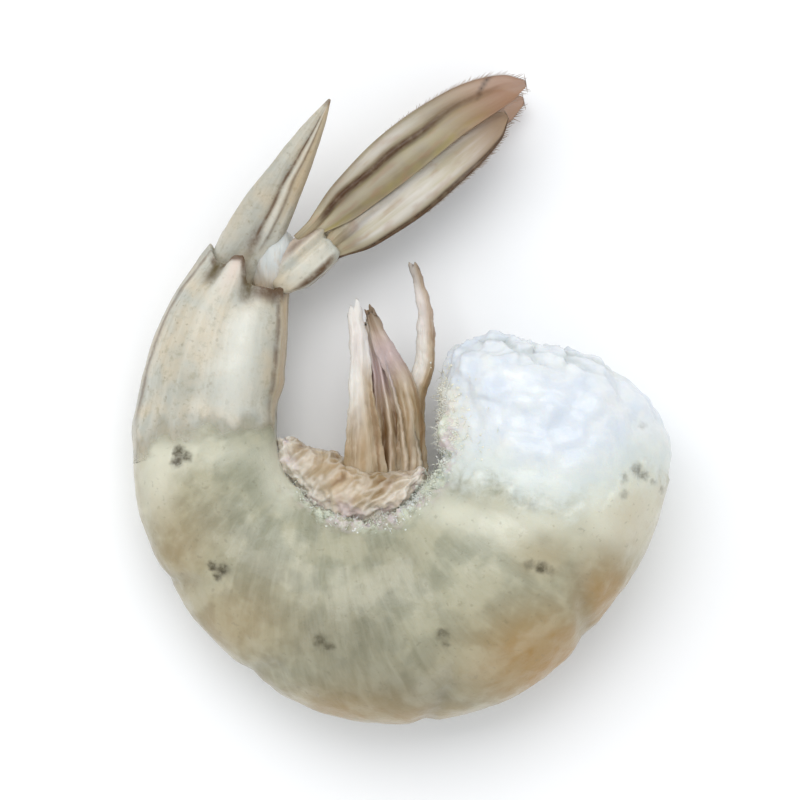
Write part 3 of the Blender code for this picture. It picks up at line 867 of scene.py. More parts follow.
def flesh_sections():
    """Under the shell's lip, along the body, and round the neck end into its pit."""
    sections = [SPINE.section(TAIL_FRONT + past, grow) for past, grow in FLESH_TUCKED]
    sections += [SPINE.section(travel) for travel in np.linspace(TAIL_FRONT + 0.8, NECK, 24)]
    neck = sections[-1]
    along = heading_vector(NECK_HEADING)
    for share in NECK_SHARES:
        size = max(NECK_RIM[0], (1 - share**NECK_ROUNDING) ** (1 / NECK_ROUNDING))
        middle = neck.middle + along * NECK_LENGTH * share
        sections.append(Section(middle, neck.heading, neck.across * size, neck.up * size))
    pit = neck.middle + along * (NECK_LENGTH - NECK_PIT)
    sections.append(Section(pit, neck.heading, neck.across * NECK_RIM[1], neck.up * NECK_RIM[1]))
    return sections


def muscle_depth(co):
    """How far each point is past the skin's ragged edge, in millimetres: over 0 on the bare muscle."""
    edge = np.interp(co[:, 0], [p[0] for p in SKIN_EDGE], [p[1] for p in SKIN_EDGE])
    tail = smooth_step(0.0, -4.0, co[:, 0]) * 20
    low = smooth_step(11.0, 4.0, co[:, 2])
    return co[:, 1] - edge - tail + low * MUSCLE_WANDER * lumps(co, MUSCLE_WANDER_SIZE, 12.0)


class SHRIMP_OT_flesh(bpy.types.Operator):
    """Model the raw flesh, from the tail's shell to the torn neck end"""

    bl_idname = "shrimp.flesh"
    bl_label = "Raw Flesh"

    def execute(self, context):
        sizes = context.scene.shrimp_sizes
        obj = sweep("raw_flesh", flesh_sections(), 30, flesh_outline)
        subdivide(obj, 3)
        self.swell(obj, sizes)
        self.tear(obj, sizes)
        self.press(obj)
        self.store(obj)
        finish_piece(obj, material(context, "flesh"), "flesh", "flesh")
        return {"FINISHED"}

    def swell(self, obj, sizes):
        """The muscle between the joints, the creases at them, and soft uneven relief all over."""
        co = points_of(obj)
        travel, angle, _ = SPINE.locate(co)
        wander = lumps(co, 7.0, 3.1) * 0.7
        lean = 1.6 * np.cos(np.radians(angle * 2))  # the joints lean forward at the flank's middle
        height = np.zeros(len(co))
        stops = [TAIL_FRONT, *(SPINE.places[j] for j in JOINTS), NECK + NECK_LENGTH]
        for low, high in zip(stops, stops[1:]):
            share = np.clip((travel - low) / (high - low), 0, 1)
            height += sizes.swelling / MM * np.sin(np.pi * share) ** 0.8 * smooth_step(176, 120, angle)
        for joint in JOINTS:
            near = travel - SPINE.places[joint] - wander + lean
            deep = sizes.groove / MM * (0.8 + 1.2 * smooth_step(80, 30, angle))
            height -= deep * bell(near, 0.8) * smooth_step(172, 140, angle)
        height += 0.16 * lumps(co, 4.5, 1.3) + 0.06 * lumps(co, 1.5, 8.2)
        height -= 0.3 * smooth_step(90, 30, angle) * smooth_step(TAIL_FRONT, TAIL_FRONT + 9, travel)
        for x, y, radius, strength in HINGE_MARKS:
            height -= 0.16 * strength * bell(np.hypot(co[:, 0] - x, co[:, 1] - y), radius * 1.1)
        push_out(obj, height)

    def tear(self, obj, sizes):
        """The skin's ragged edge, the lumpy bare muscle past it, and the frayed edge along the belly."""
        co = points_of(obj)
        travel, angle, _ = SPINE.locate(co)
        bare = muscle_depth(co) + 1.6 * lumps(co, 2.2, 5.5)
        height = -sizes.skin / MM * smooth_step(-0.3, 0.5, bare)
        grown = smooth_step(0.0, 9.0, muscle_depth(co))
        height += sizes.lump / MM * grown * lumps(co, 4.2, 0.0, 2) * 0.7
        height += 0.22 * grown * (np.minimum(cells(co, 3.4, 2.0), 0.35) / 0.35 - 0.6)
        end = smooth_step(NECK + 5.5, NECK + 9.0, travel)
        bundles = np.minimum(cells(co, *BUNDLES), 0.25) / 0.25 - 0.75
        height += end * (0.75 * bundles + 0.3 * lumps(co, 1.5, 2.0, 3))
        height += 0.07 * smooth_step(0.0, 3.0, bare) * lumps(co, 1.0, 4.0)
        fuzzy = smooth_step(132, 160, angle) * smooth_step(NECK - 8, NECK - 4, travel)
        height += fuzzy * (0.3 * lumps(co, 1.5, 6.0, 3) + 0.1 * lumps(co, 0.7, 1.0))
        height += 1.0 * fuzzy * smooth_step(NECK + 4, NECK - 1, travel)
        frayed = self.frayed(travel, angle)
        height += sizes.fray / MM * frayed * (0.35 + lumps(co, 1.3, 9.0, 3) + 0.5 * lumps(co, 0.6, 2.0))
        push_out(obj, height)

    def frayed(self, travel, angle):
        """1 on the torn edge along the belly, on either flank."""
        reach = smooth_step(SPINE.places["joint_5_4"] - 3, SPINE.places["joint_4_3"], travel)
        return bell(angle - TORN_ANGLE, 9) * reach * smooth_step(NECK + 3, NECK - 3, travel)

    def press(self, obj):
        """Presses the underside flat on the table, with a soft edge."""
        co = points_of(obj)
        soft = 0.12
        co[:, 2] = (co[:, 2] + np.sqrt(co[:, 2] ** 2 + soft**2)) / 2 - soft * 0.02
        move_points(obj, co)

    def store(self, obj):
        """The marks for the material."""
        co = points_of(obj)
        travel, angle, _ = SPINE.locate(co)
        warm = patched(co, WARM_PATCHES) * (0.55 + 0.45 * smooth_step(3.0, 11.0, co[:, 2]))
        # Painted shade along each joint groove, stronger towards the back, where the grooves are deepest
        crease = np.zeros(len(co))
        for joint in JOINTS:
            crease += bell(travel - SPINE.places[joint] + 1.6 * np.cos(np.radians(angle * 2)), 0.9)
        yellow = smooth_step(NECK - 8, NECK - 3, travel) * smooth_step(NECK + 5, NECK, travel)
        mark(
            obj,
            travel=travel,
            girth=angle * 0.16,
            warm=np.maximum(warm, 0.3 * smooth_step(52, 8, angle)),
            crease=crease * (0.5 + smooth_step(70, 20, angle)) * smooth_step(170, 110, angle),
            muscle=muscle_depth(co),
            hollow=smooth_step(0.24, 0.0, cells(co, *BUNDLES)) * smooth_step(NECK + 5.0, NECK + 8.5, travel),
            yellow=yellow * smooth_step(128, 158, angle),
            # Painted light and shade in patches, with the skin's own uneven tone
            tone=patched(co, TONE_AND_PAINTED_LIGHT_PATCHES, widest=False),
            torn=self.frayed(travel, angle) * 1.3,
        )


# Shell of the tail somite


SHELL_LIP = 0.15  # the shell's front rim stands proud of the flesh
SHELL_FLATTENING = 0.16
SHELL_WIDENING = 1.16  # of the flattened section, side to side
FIT_LENGTH = 6.0  # of the shell's front that lies on the flesh
FIT_GAP = 0.05
# How far the rear rim reaches past the root of the fan, by the angle from the back
REAR_RIM = (
    (0, 1.0),
    (12, 0.4),
    (30, -0.1),
    (48, -0.7),
    (60, -0.6),
    (69, 0.25),
    (79, 0.35),
    (87, -0.6),
    (95, -2.1),
    (140, -2.2),
    (160, -1.4),
    (180, 0.0),
)


def shell_outline(across, up):
    """The shell's section: a soft keel along the back, and flat flanks."""
    back = -across
    angle = math.degrees(math.atan2(abs(up), back))
    flat = up * (1 - SHELL_FLATTENING * abs(up) ** 8)
    return across - 0.055 * float(bell(angle, 14)), flat * SHELL_WIDENING


class SHRIMP_OT_tail_shell(bpy.types.Operator):
    """Model the shell that is left on the tail somite, with the soft skin inside its rear rim"""

    bl_idname = "shrimp.tail_shell"
    bl_label = "Tail Shell"

    def execute(self, context):
        sizes = context.scene.shrimp_sizes
        travels = (TAIL_FRONT + 1.4, TAIL_FRONT + 1.2, *np.linspace(TAIL_FRONT - 0.2, 0.0, 10))
        sections = [SPINE.section(travel, SHELL_LIP * max(0, travel / TAIL_FRONT) ** 6) for travel in travels]
        sections[0] = SPINE.section(travels[0], -0.1)
        rim = sections[-1]
        thin = sizes.shell / MM
        inwards = heading_vector(rim.heading)
        # The rings that close the rear: how much smaller than the rim, and how far in
        closing = ((0.12, -0.12), (thin, 0.1), (thin + 0.15, 0.45), (thin + 0.6, 0.55), (thin + 1.6, 0.0))
        for inset, depth in closing:
            middle = rim.middle + inwards * depth
            sections.append(Section(middle, rim.heading, rim.across - inset, rim.up - inset * 0.8))
        obj = sweep("tail_shell", sections, 36, shell_outline)
        subdivide(obj, 2)
        self.relief(obj)
        finish_piece(obj, material(context, "shell"), "shell", "tail_segment")
        return {"FINISHED"}

    def relief(self, obj):
        """Ridges lengthwise, soft dents, the marks, the fit to the flesh, and the rear rim's outline."""
        co, normals = points_of(obj), normals_of(obj)
        travel, angle, out = SPINE.locate(co)
        round_ = np.radians(angle)
        # Towards the front the section takes on the flesh's own
        flesh_width = 1 + BACK_FULLNESS * np.cos(round_)
        fitted = flesh_width / SHELL_WIDENING / (1 - SHELL_FLATTENING * np.sin(round_) ** 8)
        middle = SPINE.height(travel)
        slimmer = (fitted - 1) * smooth_step(TAIL_FRONT - 11, TAIL_FRONT - 1, travel)
        co[:, 2] = middle + (co[:, 2] - middle) * (1 + slimmer)
        outer = smooth_step(0.80, 0.93, out)
        rear = smooth_step(13, 3, travel)
        ridge = 0.30 * bell(angle - 148, 5) + 0.20 * bell(angle - 84, 5) * rear
        furrow = 0.18 * bell(angle - 58, 6) * rear + 0.12 * bell(angle - 104, 6) * rear
        height = (ridge - furrow + 0.10 * lumps(co, 2.8, 6.0) + 0.03 * lumps(co, 0.8, 1.0)) * outer
        back = np.maximum(bell(angle - 17, 4.5), 0.3 * smooth_step(18, 6, angle))
        back *= smooth_step(TAIL_FRONT, TAIL_FRONT - 4, travel)
        notch = bell(angle - 51, 11) * smooth_step(3.2, 1.0, travel)
        step = bell(angle - 99, 10) * smooth_step(3.4, 1.0, travel)
        wide = 0.75 + 1.6 * smooth_step(78, 92, angle)
        rim = smooth_step(wide, 0.25, travel) * smooth_step(20, 40, angle) * smooth_step(0.78, 0.86, out)
        inner = smooth_step(0.92, 0.84, out) * smooth_step(1.6, 0.9, travel)
        lines = np.maximum(bell(angle - 143, 3.0), 0.8 * bell(angle - 173, 3.5)) * smooth_step(20, 11, travel)
        dark = np.maximum.reduce([0.75 * back, notch, step, 0.95 * rim, 0.8 * lines]) * (1 - 0.8 * inner)
        strip = 0.8 * smooth_step(142, 152, angle) * smooth_step(20, 12, travel)
        # A painted highlight on the middle of the flank
        painted_highlight = 0.8 * bell(angle - 106, 18) * bell(travel - 9.0, 8.0)
        uneven = travel + 1.3 * lumps(co, 2.2, 2.0, 3) - 1.6 * smooth_step(50, 20, angle)
        mark(
            obj,
            travel=travel,
            girth=angle * 0.12,
            olive=np.clip(notch + step, 0, 1),
            dark=np.clip(dark, 0, 1),
            tan=np.maximum(strip, 0.5 * inner),
            pink=bell(angle - 76, 9) * smooth_step(5, 0.5, travel) * 0.9,
            pale=painted_highlight + 0.4 * bell(angle - 66, 6) * rear,
            cover=smooth_step(TAIL_FRONT + 0.9, TAIL_FRONT - 2.6, uneven),
        )
        reach = ease(REAR_RIM, angle) * smooth_step(6.0, 0.6, travel)
        tailwards = -np.array(heading_vector(SPINE.section(0.0).heading))
        co += normals * height[:, None] + tailwards * reach[:, None]
        move_points(obj, self.fit_front(co, travel, angle, out))

    def fit_front(self, co, travel, angle, out):
        """Lays the shell's front on the flesh: softly on the flanks, and at a short lip along the back."""
        flesh = surface_of("raw_flesh")
        for i in np.flatnonzero((travel > TAIL_FRONT - FIT_LENGTH) & (out > 0.8)):
            on, outwards, _, _ = flesh.find_nearest((Vector(co[i]) + BOX_SHIFT) * MM)
            target = np.array(on / MM - BOX_SHIFT + outwards * FIT_GAP)
            flank = smooth_step(TAIL_FRONT - FIT_LENGTH, TAIL_FRONT - 1.5, travel[i])
            flank *= smooth_step(18, 50, angle[i])
            lip = smooth_step(TAIL_FRONT - 2.0, TAIL_FRONT + 0.6, travel[i])
            co[i] += (target - co[i]) * max(flank, lip)
        return co


# Tail fan


TELSON_ROOT = Vector((-15.5, 15.0, 7.0))
TELSON_LENGTH = 17.0
TELSON_HEADING = 60.0
TELSON_TILT = 14.0
TELSON_BASE = (6.0, 5.2)  # across the flanks, and side to side
TELSON_SHARES = (-0.3, -0.16, 0.0, 0.12, 0.26, 0.42, 0.58, 0.74, 0.88, 0.97, 1.0)


def telson_size(share):
    return max(0.06, (1 - max(share, 0)) ** 0.78 * (1 + 0.32 * max(share, 0)))


class SHRIMP_OT_telson(bpy.types.Operator):
    """Model the pointed telson in the middle of the fan"""

    bl_idname = "shrimp.telson"
    bl_label = "Telson"

    def execute(self, context):
        sections = []
        for share in TELSON_SHARES:
            size = telson_size(share) * (1 + 0.8 * min(share, 0))
            middle = Vector((TELSON_LENGTH * share, 0, 0))
            sections.append(Section(middle, 0.0, TELSON_BASE[0] / 2 * size, TELSON_BASE[1] / 2 * size))
        obj = sweep("telson_spike", sections, 16)
        subdivide(obj, 3)
        self.relief(obj)
        self.raise_up(obj)
        finish_piece(obj, material(context, "shell"), "shell", "telson")
        return {"FINISHED"}

    def relief(self, obj):
        """Flat flanks, a groove between two ridges along the back, and a ridge along each flank."""
        co = points_of(obj)
        share = co[:, 0] / TELSON_LENGTH
        size = np.array([telson_size(s) for s in np.clip(share, 0, 1)])
        angle = np.degrees(np.arctan2(np.abs(co[:, 2]), co[:, 1]))  # 0 on the back
        co[:, 2] *= 1 - 0.28 * np.sin(np.radians(angle)) ** 4
        angle = angle + 9 * lumps(co * (0.25, 1, 1), 1.6, 4.0)
        normals = normals_of(obj)
        run = smooth_step(0.0, 0.12, share) * smooth_step(1.0, 0.8, share)
        height = 0.22 * bell(angle - 22, 8) - 0.5 * bell(angle, 12)
        height += 0.22 * bell(angle - 112, 9) - 0.2 * bell(angle - 90, 7) - 0.16 * bell(angle - 134, 8)
        height = height * size * run + 0.04 * lumps(co, 1.6, 3.0)
        move_points(obj, co + normals * height[:, None])
        base = bell(angle - 98, 16) * bell(share - 0.08, 0.09) * 0.7
        dark = np.maximum.reduce([0.85 * bell(angle - 96, 6) * run, base, smooth_step(0.93, 1.0, share)])
        dark = np.maximum(dark, 0.5 * bell(angle - 124, 5) * run) + 0.14
        mark(
            obj,
            travel=co[:, 0],
            girth=angle * 0.06,
            dark=np.clip(dark, 0, 1),
            tan=0.55 * smooth_step(100, 118, angle) * smooth_step(0.25, 0.5, share),
            pink=0,
            cover=1,
            pale=0.5 * bell(angle - 112, 8) * run + 0.15 * smooth_step(95, 40, angle),
        )

    def raise_up(self, obj):
        """Turns the straight spike to its heading and tilt, and moves it to its root."""
        along = heading_vector(TELSON_HEADING, TELSON_TILT)
        back = heading_vector(TELSON_HEADING + 90)
        side = along.cross(back)
        axes = Matrix((along, back, side)).transposed().to_4x4()
        obj.matrix_world = Matrix.Translation(TELSON_ROOT) @ axes
        only(obj)
        bpy.ops.object.transform_apply(location=True, rotation=True)


JOINT_SKIN_SIZE = (2.3, 3.4, 2.2)  # half its length, width and height
JOINT_SKIN_TURN = -14.0
JOINT_SKIN_PLACE = (-12.9, 13.7, 6.8)


class SHRIMP_OT_joint_skin(bpy.types.Operator):
    """Model the milky skin that fills the joint between the telson, the stubs and the shell"""

    bl_idname = "shrimp.joint_skin"
    bl_label = "Joint Skin"

    def execute(self, context):
        only(None)
        bpy.ops.mesh.primitive_uv_sphere_add(segments=32, ring_count=20, radius=1.0)
        obj = new_piece("joint_skin")
        bpy.ops.object.mode_set(mode="EDIT")
        bpy.ops.mesh.select_all(action="SELECT")
        bpy.ops.transform.resize(value=JOINT_SKIN_SIZE, center_override=(0, 0, 0))
        turn(JOINT_SKIN_TURN, (0, 0, 0))
        bpy.ops.transform.translate(value=JOINT_SKIN_PLACE)
        bpy.ops.object.mode_set(mode="OBJECT")
        subdivide(obj, 1)
        co = points_of(obj)
        folds = 0.05 * np.sin(co[:, 0] * 4 + co[:, 1] * 1.5 + 2 * lumps(co, 3.0, 1.0))
        push_out(obj, folds + 0.10 * lumps(co, 2.0, 2.0))
        strokes = 0.55 * smooth_step(0.15, 0.6, lumps(co * (1, 0.35, 1), 0.7, 5.0, 3))
        root = 0.6 * smooth_step(0.6, 1.4, co[:, 0] + 12.6) * smooth_step(14.0, 12.5, co[:, 1])
        mark(
            obj,
            travel=co[:, 1],
            girth=co[:, 0],
            dark=np.maximum(strokes, root),
            pale=(0.4 + 0.3 * smooth_step(11.5, 14.0, co[:, 1])) * (1 - strokes),
            cool=smooth_step(11.0, 13.5, co[:, 1]) * (1 - strokes),
            tip=0,
            thick=1,
        )
        finish_piece(obj, material(context, "tissue"), "tissue")
        return {"FINISHED"}


STUBS = (("left", 1.9), ("right", -1.9))  # side, and how far it leans out
STUB_HEADING = 42.0
STUB_ROOT = (-11.8, 12.1, TAIL_RISE)
STUB_RISE = 0.55  # of the stub's root, in shares of its lean
# Along the stub, half its depth, half its width, and how far it has risen in shares of its lean
STUB_SECTIONS = (
    (-1.6, 1.2, 0.9, 0.0),
    (0.0, 1.7, 1.2, 0.0),
    (1.6, 2.1, 1.3, 0.1),
    (3.2, 2.2, 1.25, 0.2),
    (4.6, 2.05, 1.05, 0.3),
    (5.5, 1.8, 0.7, 0.4),
    (5.8, 1.4, 0.4, 0.4),
)


def stub_outline(across, up):
    """The stub's section: a rounded rectangle."""
    return math.copysign(abs(across) ** 0.6, across), math.copysign(abs(up) ** 0.75, up)


class SHRIMP_OT_uropod_bases(bpy.types.Operator):
    """Model the two stubs that carry the blades of the fan"""

    bl_idname = "shrimp.uropod_bases"
    bl_label = "Uropod Bases"

    def execute(self, context):
        for side, lean in STUBS:
            sections = []
            for run, across, up, rise in STUB_SECTIONS:
                middle = Vector(STUB_ROOT) + heading_vector(STUB_HEADING) * run
                middle.z += (STUB_RISE + rise) * lean
                sections.append(Section(middle, STUB_HEADING, across, up))
            obj = sweep(f"uropod_stub_{side}", sections, 16, stub_outline)
            subdivide(obj, 3)
            self.relief(obj, lean)
            finish_piece(obj, material(context, "shell"), "shell", f"uropod_base_{side}")
        return {"FINISHED"}

    def relief(self, obj, lean):
        """Ridges lengthwise, soft lumps and the marks."""
        co = points_of(obj)
        from_root = co - np.array(STUB_ROOT)
        run, side = (from_root @ np.array(heading_vector(STUB_HEADING + way)) for way in (0, 90))
        ridge = 0.3 * bell(side - 0.9, 0.35) - 0.25 * bell(side - 0.2, 0.3) + 0.3 * bell(side + 1.9, 0.4)
        push_out(obj, ridge * smooth_step(-1, 1.5, run) + 0.06 * lumps(co, 1.2, 5.0))
        rise = TAIL_RISE + lean * np.interp(run, (0.0, 5.5), (STUB_RISE, STUB_RISE + 0.4))
        face = smooth_step(0.35, 0.8, np.abs(co[:, 2] - rise))
        edge = smooth_step(-1.3, -1.75, side) * (0.15 + 0.85 * face)
        dark = np.maximum(edge, 0.7 * bell(side - 1.5, 0.35) * smooth_step(0, 3, run))
        dark = np.maximum(dark, 0.45 * bell(run - 5.4, 0.4) * smooth_step(0.3, 1.4, side))
        mark(
            obj,
            travel=run,
            girth=side,
            dark=dark,
            tan=0.3 * smooth_step(0.5, -0.5, run),
            pink=0.7 * smooth_step(0.6, 1.6, side),
            pale=0.4 * bell(side + 0.6, 1.3) * bell(run - 2.6, 2.4),
            cover=1,
        )


Blade = namedtuple("Blade", "name x y z heading bend tilt length half_width ribs cup")
BLADES = (
    Blade("endopod_left", -8.8, 16.8, 8.9, 42.0, -31.0, 6.0, 25.2, 2.5, (0.22,), 0.35),
    Blade("exopod_left", -7.2, 14.7, 8.15, 39.0, -6.0, 4.0, 21.6, 3.0, (0.25,), 0.2),
    Blade("exopod_right", -7.1, 14.8, 5.5, 40.0, -8.0, -4.0, 20.8, 2.9, (0.25,), -0.2),
    Blade("endopod_right", -8.4, 16.3, 4.3, 41.0, -29.0, -6.0, 24.6, 3.0, (0.22,), -0.5),
)
BLADE_OUTLINE = ((0.0, 0.34), (0.18, 0.80), (0.45, 1.0), (0.74, 0.86), (0.92, 0.56), (1.0, 0.12))
BLADE_ROOT = 0.08  # how far the blade reaches back into its stub, in shares of its length
BLADE_STEPS = 200
HAIR_WIDTH = 0.055  # half of it, at the root
HAIR_SUNK = 0.15


class SHRIMP_OT_blades(bpy.types.Operator):
    """Model the four ribbed blades of the fan, with the fine hairs on their rims"""

    bl_idname = "shrimp.blades"
    bl_label = "Fan Blades"

    def execute(self, context):
        for blade in BLADES:
            obj = self.plate(blade)
            shares, sides = self.shape(obj, blade)
            self.colour(obj, blade, shares, sides)
            apply(obj, "SOLIDIFY", thickness=context.scene.shrimp_sizes.blade / MM, offset=0.0)
            subdivide(obj, 1)
            hairs = self.hairs(blade, context.scene.shrimp_sizes.seed)
            obj = join(f"{blade.name}_blade", [obj, hairs])
            finish_piece(obj, material(context, "fan"), "fan", blade.name)
        return {"FINISHED"}

    def plate(self, blade):
        """A flat grid, lying from -0.5 to 0.5 both ways."""
        only(None)
        bpy.ops.mesh.primitive_grid_add(x_subdivisions=72, y_subdivisions=28, size=1.0)
        return new_piece(f"{blade.name}_blade")

    def axis(self, blade):
        """The blade's bent middle line from its root in the stub, in short steps."""
        shares = np.linspace(-BLADE_ROOT, 1, BLADE_STEPS + 1)
        headings = np.radians(blade.heading + blade.bend * np.clip(shares, 0, 1) ** 3)
        tilt = math.radians(blade.tilt)
        rise = np.full(BLADE_STEPS + 1, np.sin(tilt))
        steps = np.stack([np.cos(headings) * np.cos(tilt), np.sin(headings) * np.cos(tilt), rise], axis=1)
        line = np.cumsum(steps * blade.length * (1 + BLADE_ROOT) / BLADE_STEPS, axis=0)
        start = np.array((blade.x, blade.y, blade.z))
        line += start - [np.interp(0, shares, line[:, i]) for i in range(3)]
        return shares, line, headings

    def lay(self, blade, shares, sides):
        """Where the points of the blade lie, at shares of its length and sides from -1 to 1."""
        places, line, headings = self.axis(blade)
        middle = np.stack([np.interp(shares, places, line[:, i]) for i in range(3)], axis=1)
        heading = np.interp(shares, places, headings)
        sideways = np.stack([-np.sin(heading), np.cos(heading), np.zeros(len(heading))], axis=1)
        width = ease(BLADE_OUTLINE, shares)
        fade = np.sin(np.pi * np.clip(shares + 0.12, 0, 1)) ** 0.5
        wander = self.wander(blade, shares)
        rib = sum(bell(sides - place - wander, 0.13) for place in blade.ribs) * 0.4 * fade
        sign = math.copysign(1, blade.cup)
        ripple = 0.14 * np.sin(shares * 17 + sides * 3) * np.abs(sides) + 0.2 * np.sin(shares * 7 + sides * 2)
        lift = (rib - abs(blade.cup) * (sides * width) ** 2 + ripple) * sign
        middle = middle + np.array((0, 0, 1)) * lift[:, None]
        return middle + sideways * (sides * width * blade.half_width)[:, None]

    def wander(self, blade, shares):
        """How far the ribs stray to the side along the blade."""
        return 0.07 * np.sin(shares * 9 + blade.length) + 0.04 * np.sin(shares * 23 + blade.y)

    def shape(self, obj, blade):
        """Lays the grid along the blade. Each point's share of the length and side come back."""
        co = points_of(obj)
        shares = (co[:, 0] + 0.5) * (1 + BLADE_ROOT) - BLADE_ROOT
        sides = co[:, 1] * 2
        move_points(obj, self.lay(blade, shares, sides))
        return shares, sides

    def colour(self, obj, blade, shares, sides):
        """The marks: dark ribs and rims, milky panels, painted light on the endopod's upper band, reddish
        tips and olive beside the ribs.
        """
        co = np.stack([shares * 4, sides, 0 * sides], axis=1)
        off = sides - self.wander(blade, shares)
        ribs = np.maximum.reduce([bell(off - place, 0.16 - 0.06 * shares) for place in blade.ribs])
        ribs = ribs * smooth_step(-0.02, 0.1, shares) * smooth_step(0.98, 0.75, shares)
        edge = smooth_step(0.88, 0.97, np.abs(sides))
        endopod = blade.name.startswith("endopod")
        dark = np.maximum((1.15 - 0.5 * smooth_step(0.45, 0.8, shares)) * ribs, 0.5 * edge)
        if endopod:
            dark *= 1 - 0.7 * smooth_step(-0.75, -0.88, sides)
            suture = bell(shares - 0.80 - 0.08 * sides, 0.012) * smooth_step(-0.1, 0.3, sides)
            dark = np.maximum(dark, 0.9 * suture)
            # The first term is painted light on the upper band, which the cupped blade turns away from the
            # lamp; the second is a paler strip below the rib
            pale = 0.6 * bell(sides - 0.64, 0.22) * bell(shares - 0.4, 0.3) + 0.3 * bell(sides + 0.25, 0.25)
        else:
            dark = np.maximum(0.45 * dark, 0.95 * smooth_step(-0.76, -0.88, sides))
            middle = smooth_step(0.85, 0.45, np.abs(sides + 0.08))
            pale = 0.8 * middle * smooth_step(0.05, 0.2, shares) * smooth_step(1.0, 0.75, shares)
        tinge = 0.35 * smooth_step(0.1, 0.6, lumps(co * 4, 1.0, 3.0))
        band = 0.5 * smooth_step(0.25, 0.5, shares) * bell(off + 0.35, 0.3)
        olive = np.maximum.reduce([bell(off + 0.78, 0.15), 0.7 * bell(off - 0.02, 0.1), band])
        mark(
            obj,
            dark=np.clip(dark, 0, 1),
            pale=pale,
            pink=np.maximum(smooth_step(0.55, 0.95, shares) * (0.95 if endopod else 0.5), tinge),
            olive=olive * (0.9 if endopod else 0.0),
            thick=np.clip(np.maximum(ribs, edge) + smooth_step(0.15, 0.0, shares), 0, 1),
            travel=shares * blade.length,
            girth=sides * blade.half_width,
        )

    def hairs(self, blade, seed):
        """Fine hairs that fringe the rim past the blade's middle, each a thin three-sided spine."""
        draw = random.Random(f"{seed}{blade.name}")
        pieces = []
        rim = [(share, side) for side in (-1, 1) for share in np.linspace(0.45, 0.99, 62)]
        rim += [(1.0, side) for side in np.linspace(-0.9, 0.9, 12)]
        first = self.one_hair(blade)
        for share, side in rim:
            shares = np.array([share, share, min(share + 0.02, 1)])
            at = self.lay(blade, shares, np.array([side, side * 0.8, side]))
            out = Vector(at[0] - at[1]).normalized()
            forward = Vector(at[2] - at[0])
            forward = forward.normalized() if forward.length > 0.01 else out
            way = (out * draw.uniform(0.5, 1.0) + forward * draw.uniform(0.7, 1.3)).normalized()
            long = draw.uniform(0.5, 1.0) * float(0.5 + 0.5 * smooth_step(0.45, 0.9, share))
            turned = way.to_track_quat("Z", "Y").to_matrix().to_4x4()
            scaled = Matrix.Diagonal((HAIR_WIDTH, HAIR_WIDTH, long, 1))
            root = Vector(at[0]) - way * HAIR_SUNK
            pieces.append(copy_of(first, Matrix.Translation(root) @ turned @ scaled))
        bpy.data.objects.remove(first)
        joined = join(f"{blade.name}_hairs", pieces)
        mark(joined, dark=0.35, pale=0.1, pink=0.7, thick=1, olive=0)
        return joined

    def one_hair(self, blade):
        """A spine one unit long that stands on its root."""
        only(None)
        bpy.ops.mesh.primitive_cone_add(vertices=3, radius1=1.0, radius2=0.15, depth=1, location=(0, 0, 0.5))
        hair = new_piece(f"{blade.name}_hair")
        bpy.ops.object.transform_apply(location=True)
        return hair


# Torn belly tissue


# How far the pad stands out from the body's own outline, by place along the body
TISSUE_THICKNESS = (
    ("joint_6_5", 0.4),
    ("somite_5", 2.6),
    ("joint_5_4", 4.6),
    ("joint_4_3", 4.8),
    ("somite_3", 4.2),
    ("joint_3_2", 3.2),
    ("somite_2", 2.0),
    ("joint_2_1", 0.6),
)
TISSUE_START = 1.2  # how far past its first place the pad begins
TISSUE_ANGLE = 32.0  # either side of the belly line
TISSUE_SUNK = 0.45  # how deep the pad lies in the flesh
Strand = namedtuple("Strand", "name points half_widths thickness pleats pleat_depth dark_tip")
STRANDS = (
    Strand(
        "rear",
        ((-3.9, -8.2, 8.4), (-4.0, -3.6, 8.8), (-4.3, 1.0, 9.2), (-4.4, 5.0, 9.2), (-5.0, 9.3, 9.0)),
        (2.4, 1.8, 1.2, 0.95, 0.75),
        0.7, 2.0, 0.14, 0.0,
    ),
    Strand(
        "middle",
        ((0.6, -7.2, 7.6), (0.6, -2.9, 7.9), (-0.2, 1.6, 8.2), (-2.0, 5.0, 8.7), (-3.5, 8.9, 8.9)),
        (1.7, 1.4, 1.25, 1.0, 0.5),
        0.9, 1.5, 0.16, 0.75,
    ),
    Strand(
        "front",
        ((0.8, -5.0, 7.0), (0.9, 0.2, 7.2), (2.0, 4.2, 7.0), (2.0, 8.2, 6.8), (0.8, 13.4, 6.6)),
        (1.1, 1.1, 1.0, 0.8, 0.45),
        0.9, 1.0, 0.10, 0.45,
    ),
    Strand(
        "web",
        ((-1.4, -7.4, 7.9), (-1.5, -4.0, 7.8), (-1.9, -0.4, 7.8), (-2.7, 3.6, 8.2), (-3.9, 7.8, 8.6)),
        (3.4, 2.9, 2.3, 1.5, 0.7),
        0.6, 4.5, 0.5, 0.0,
    ),
)


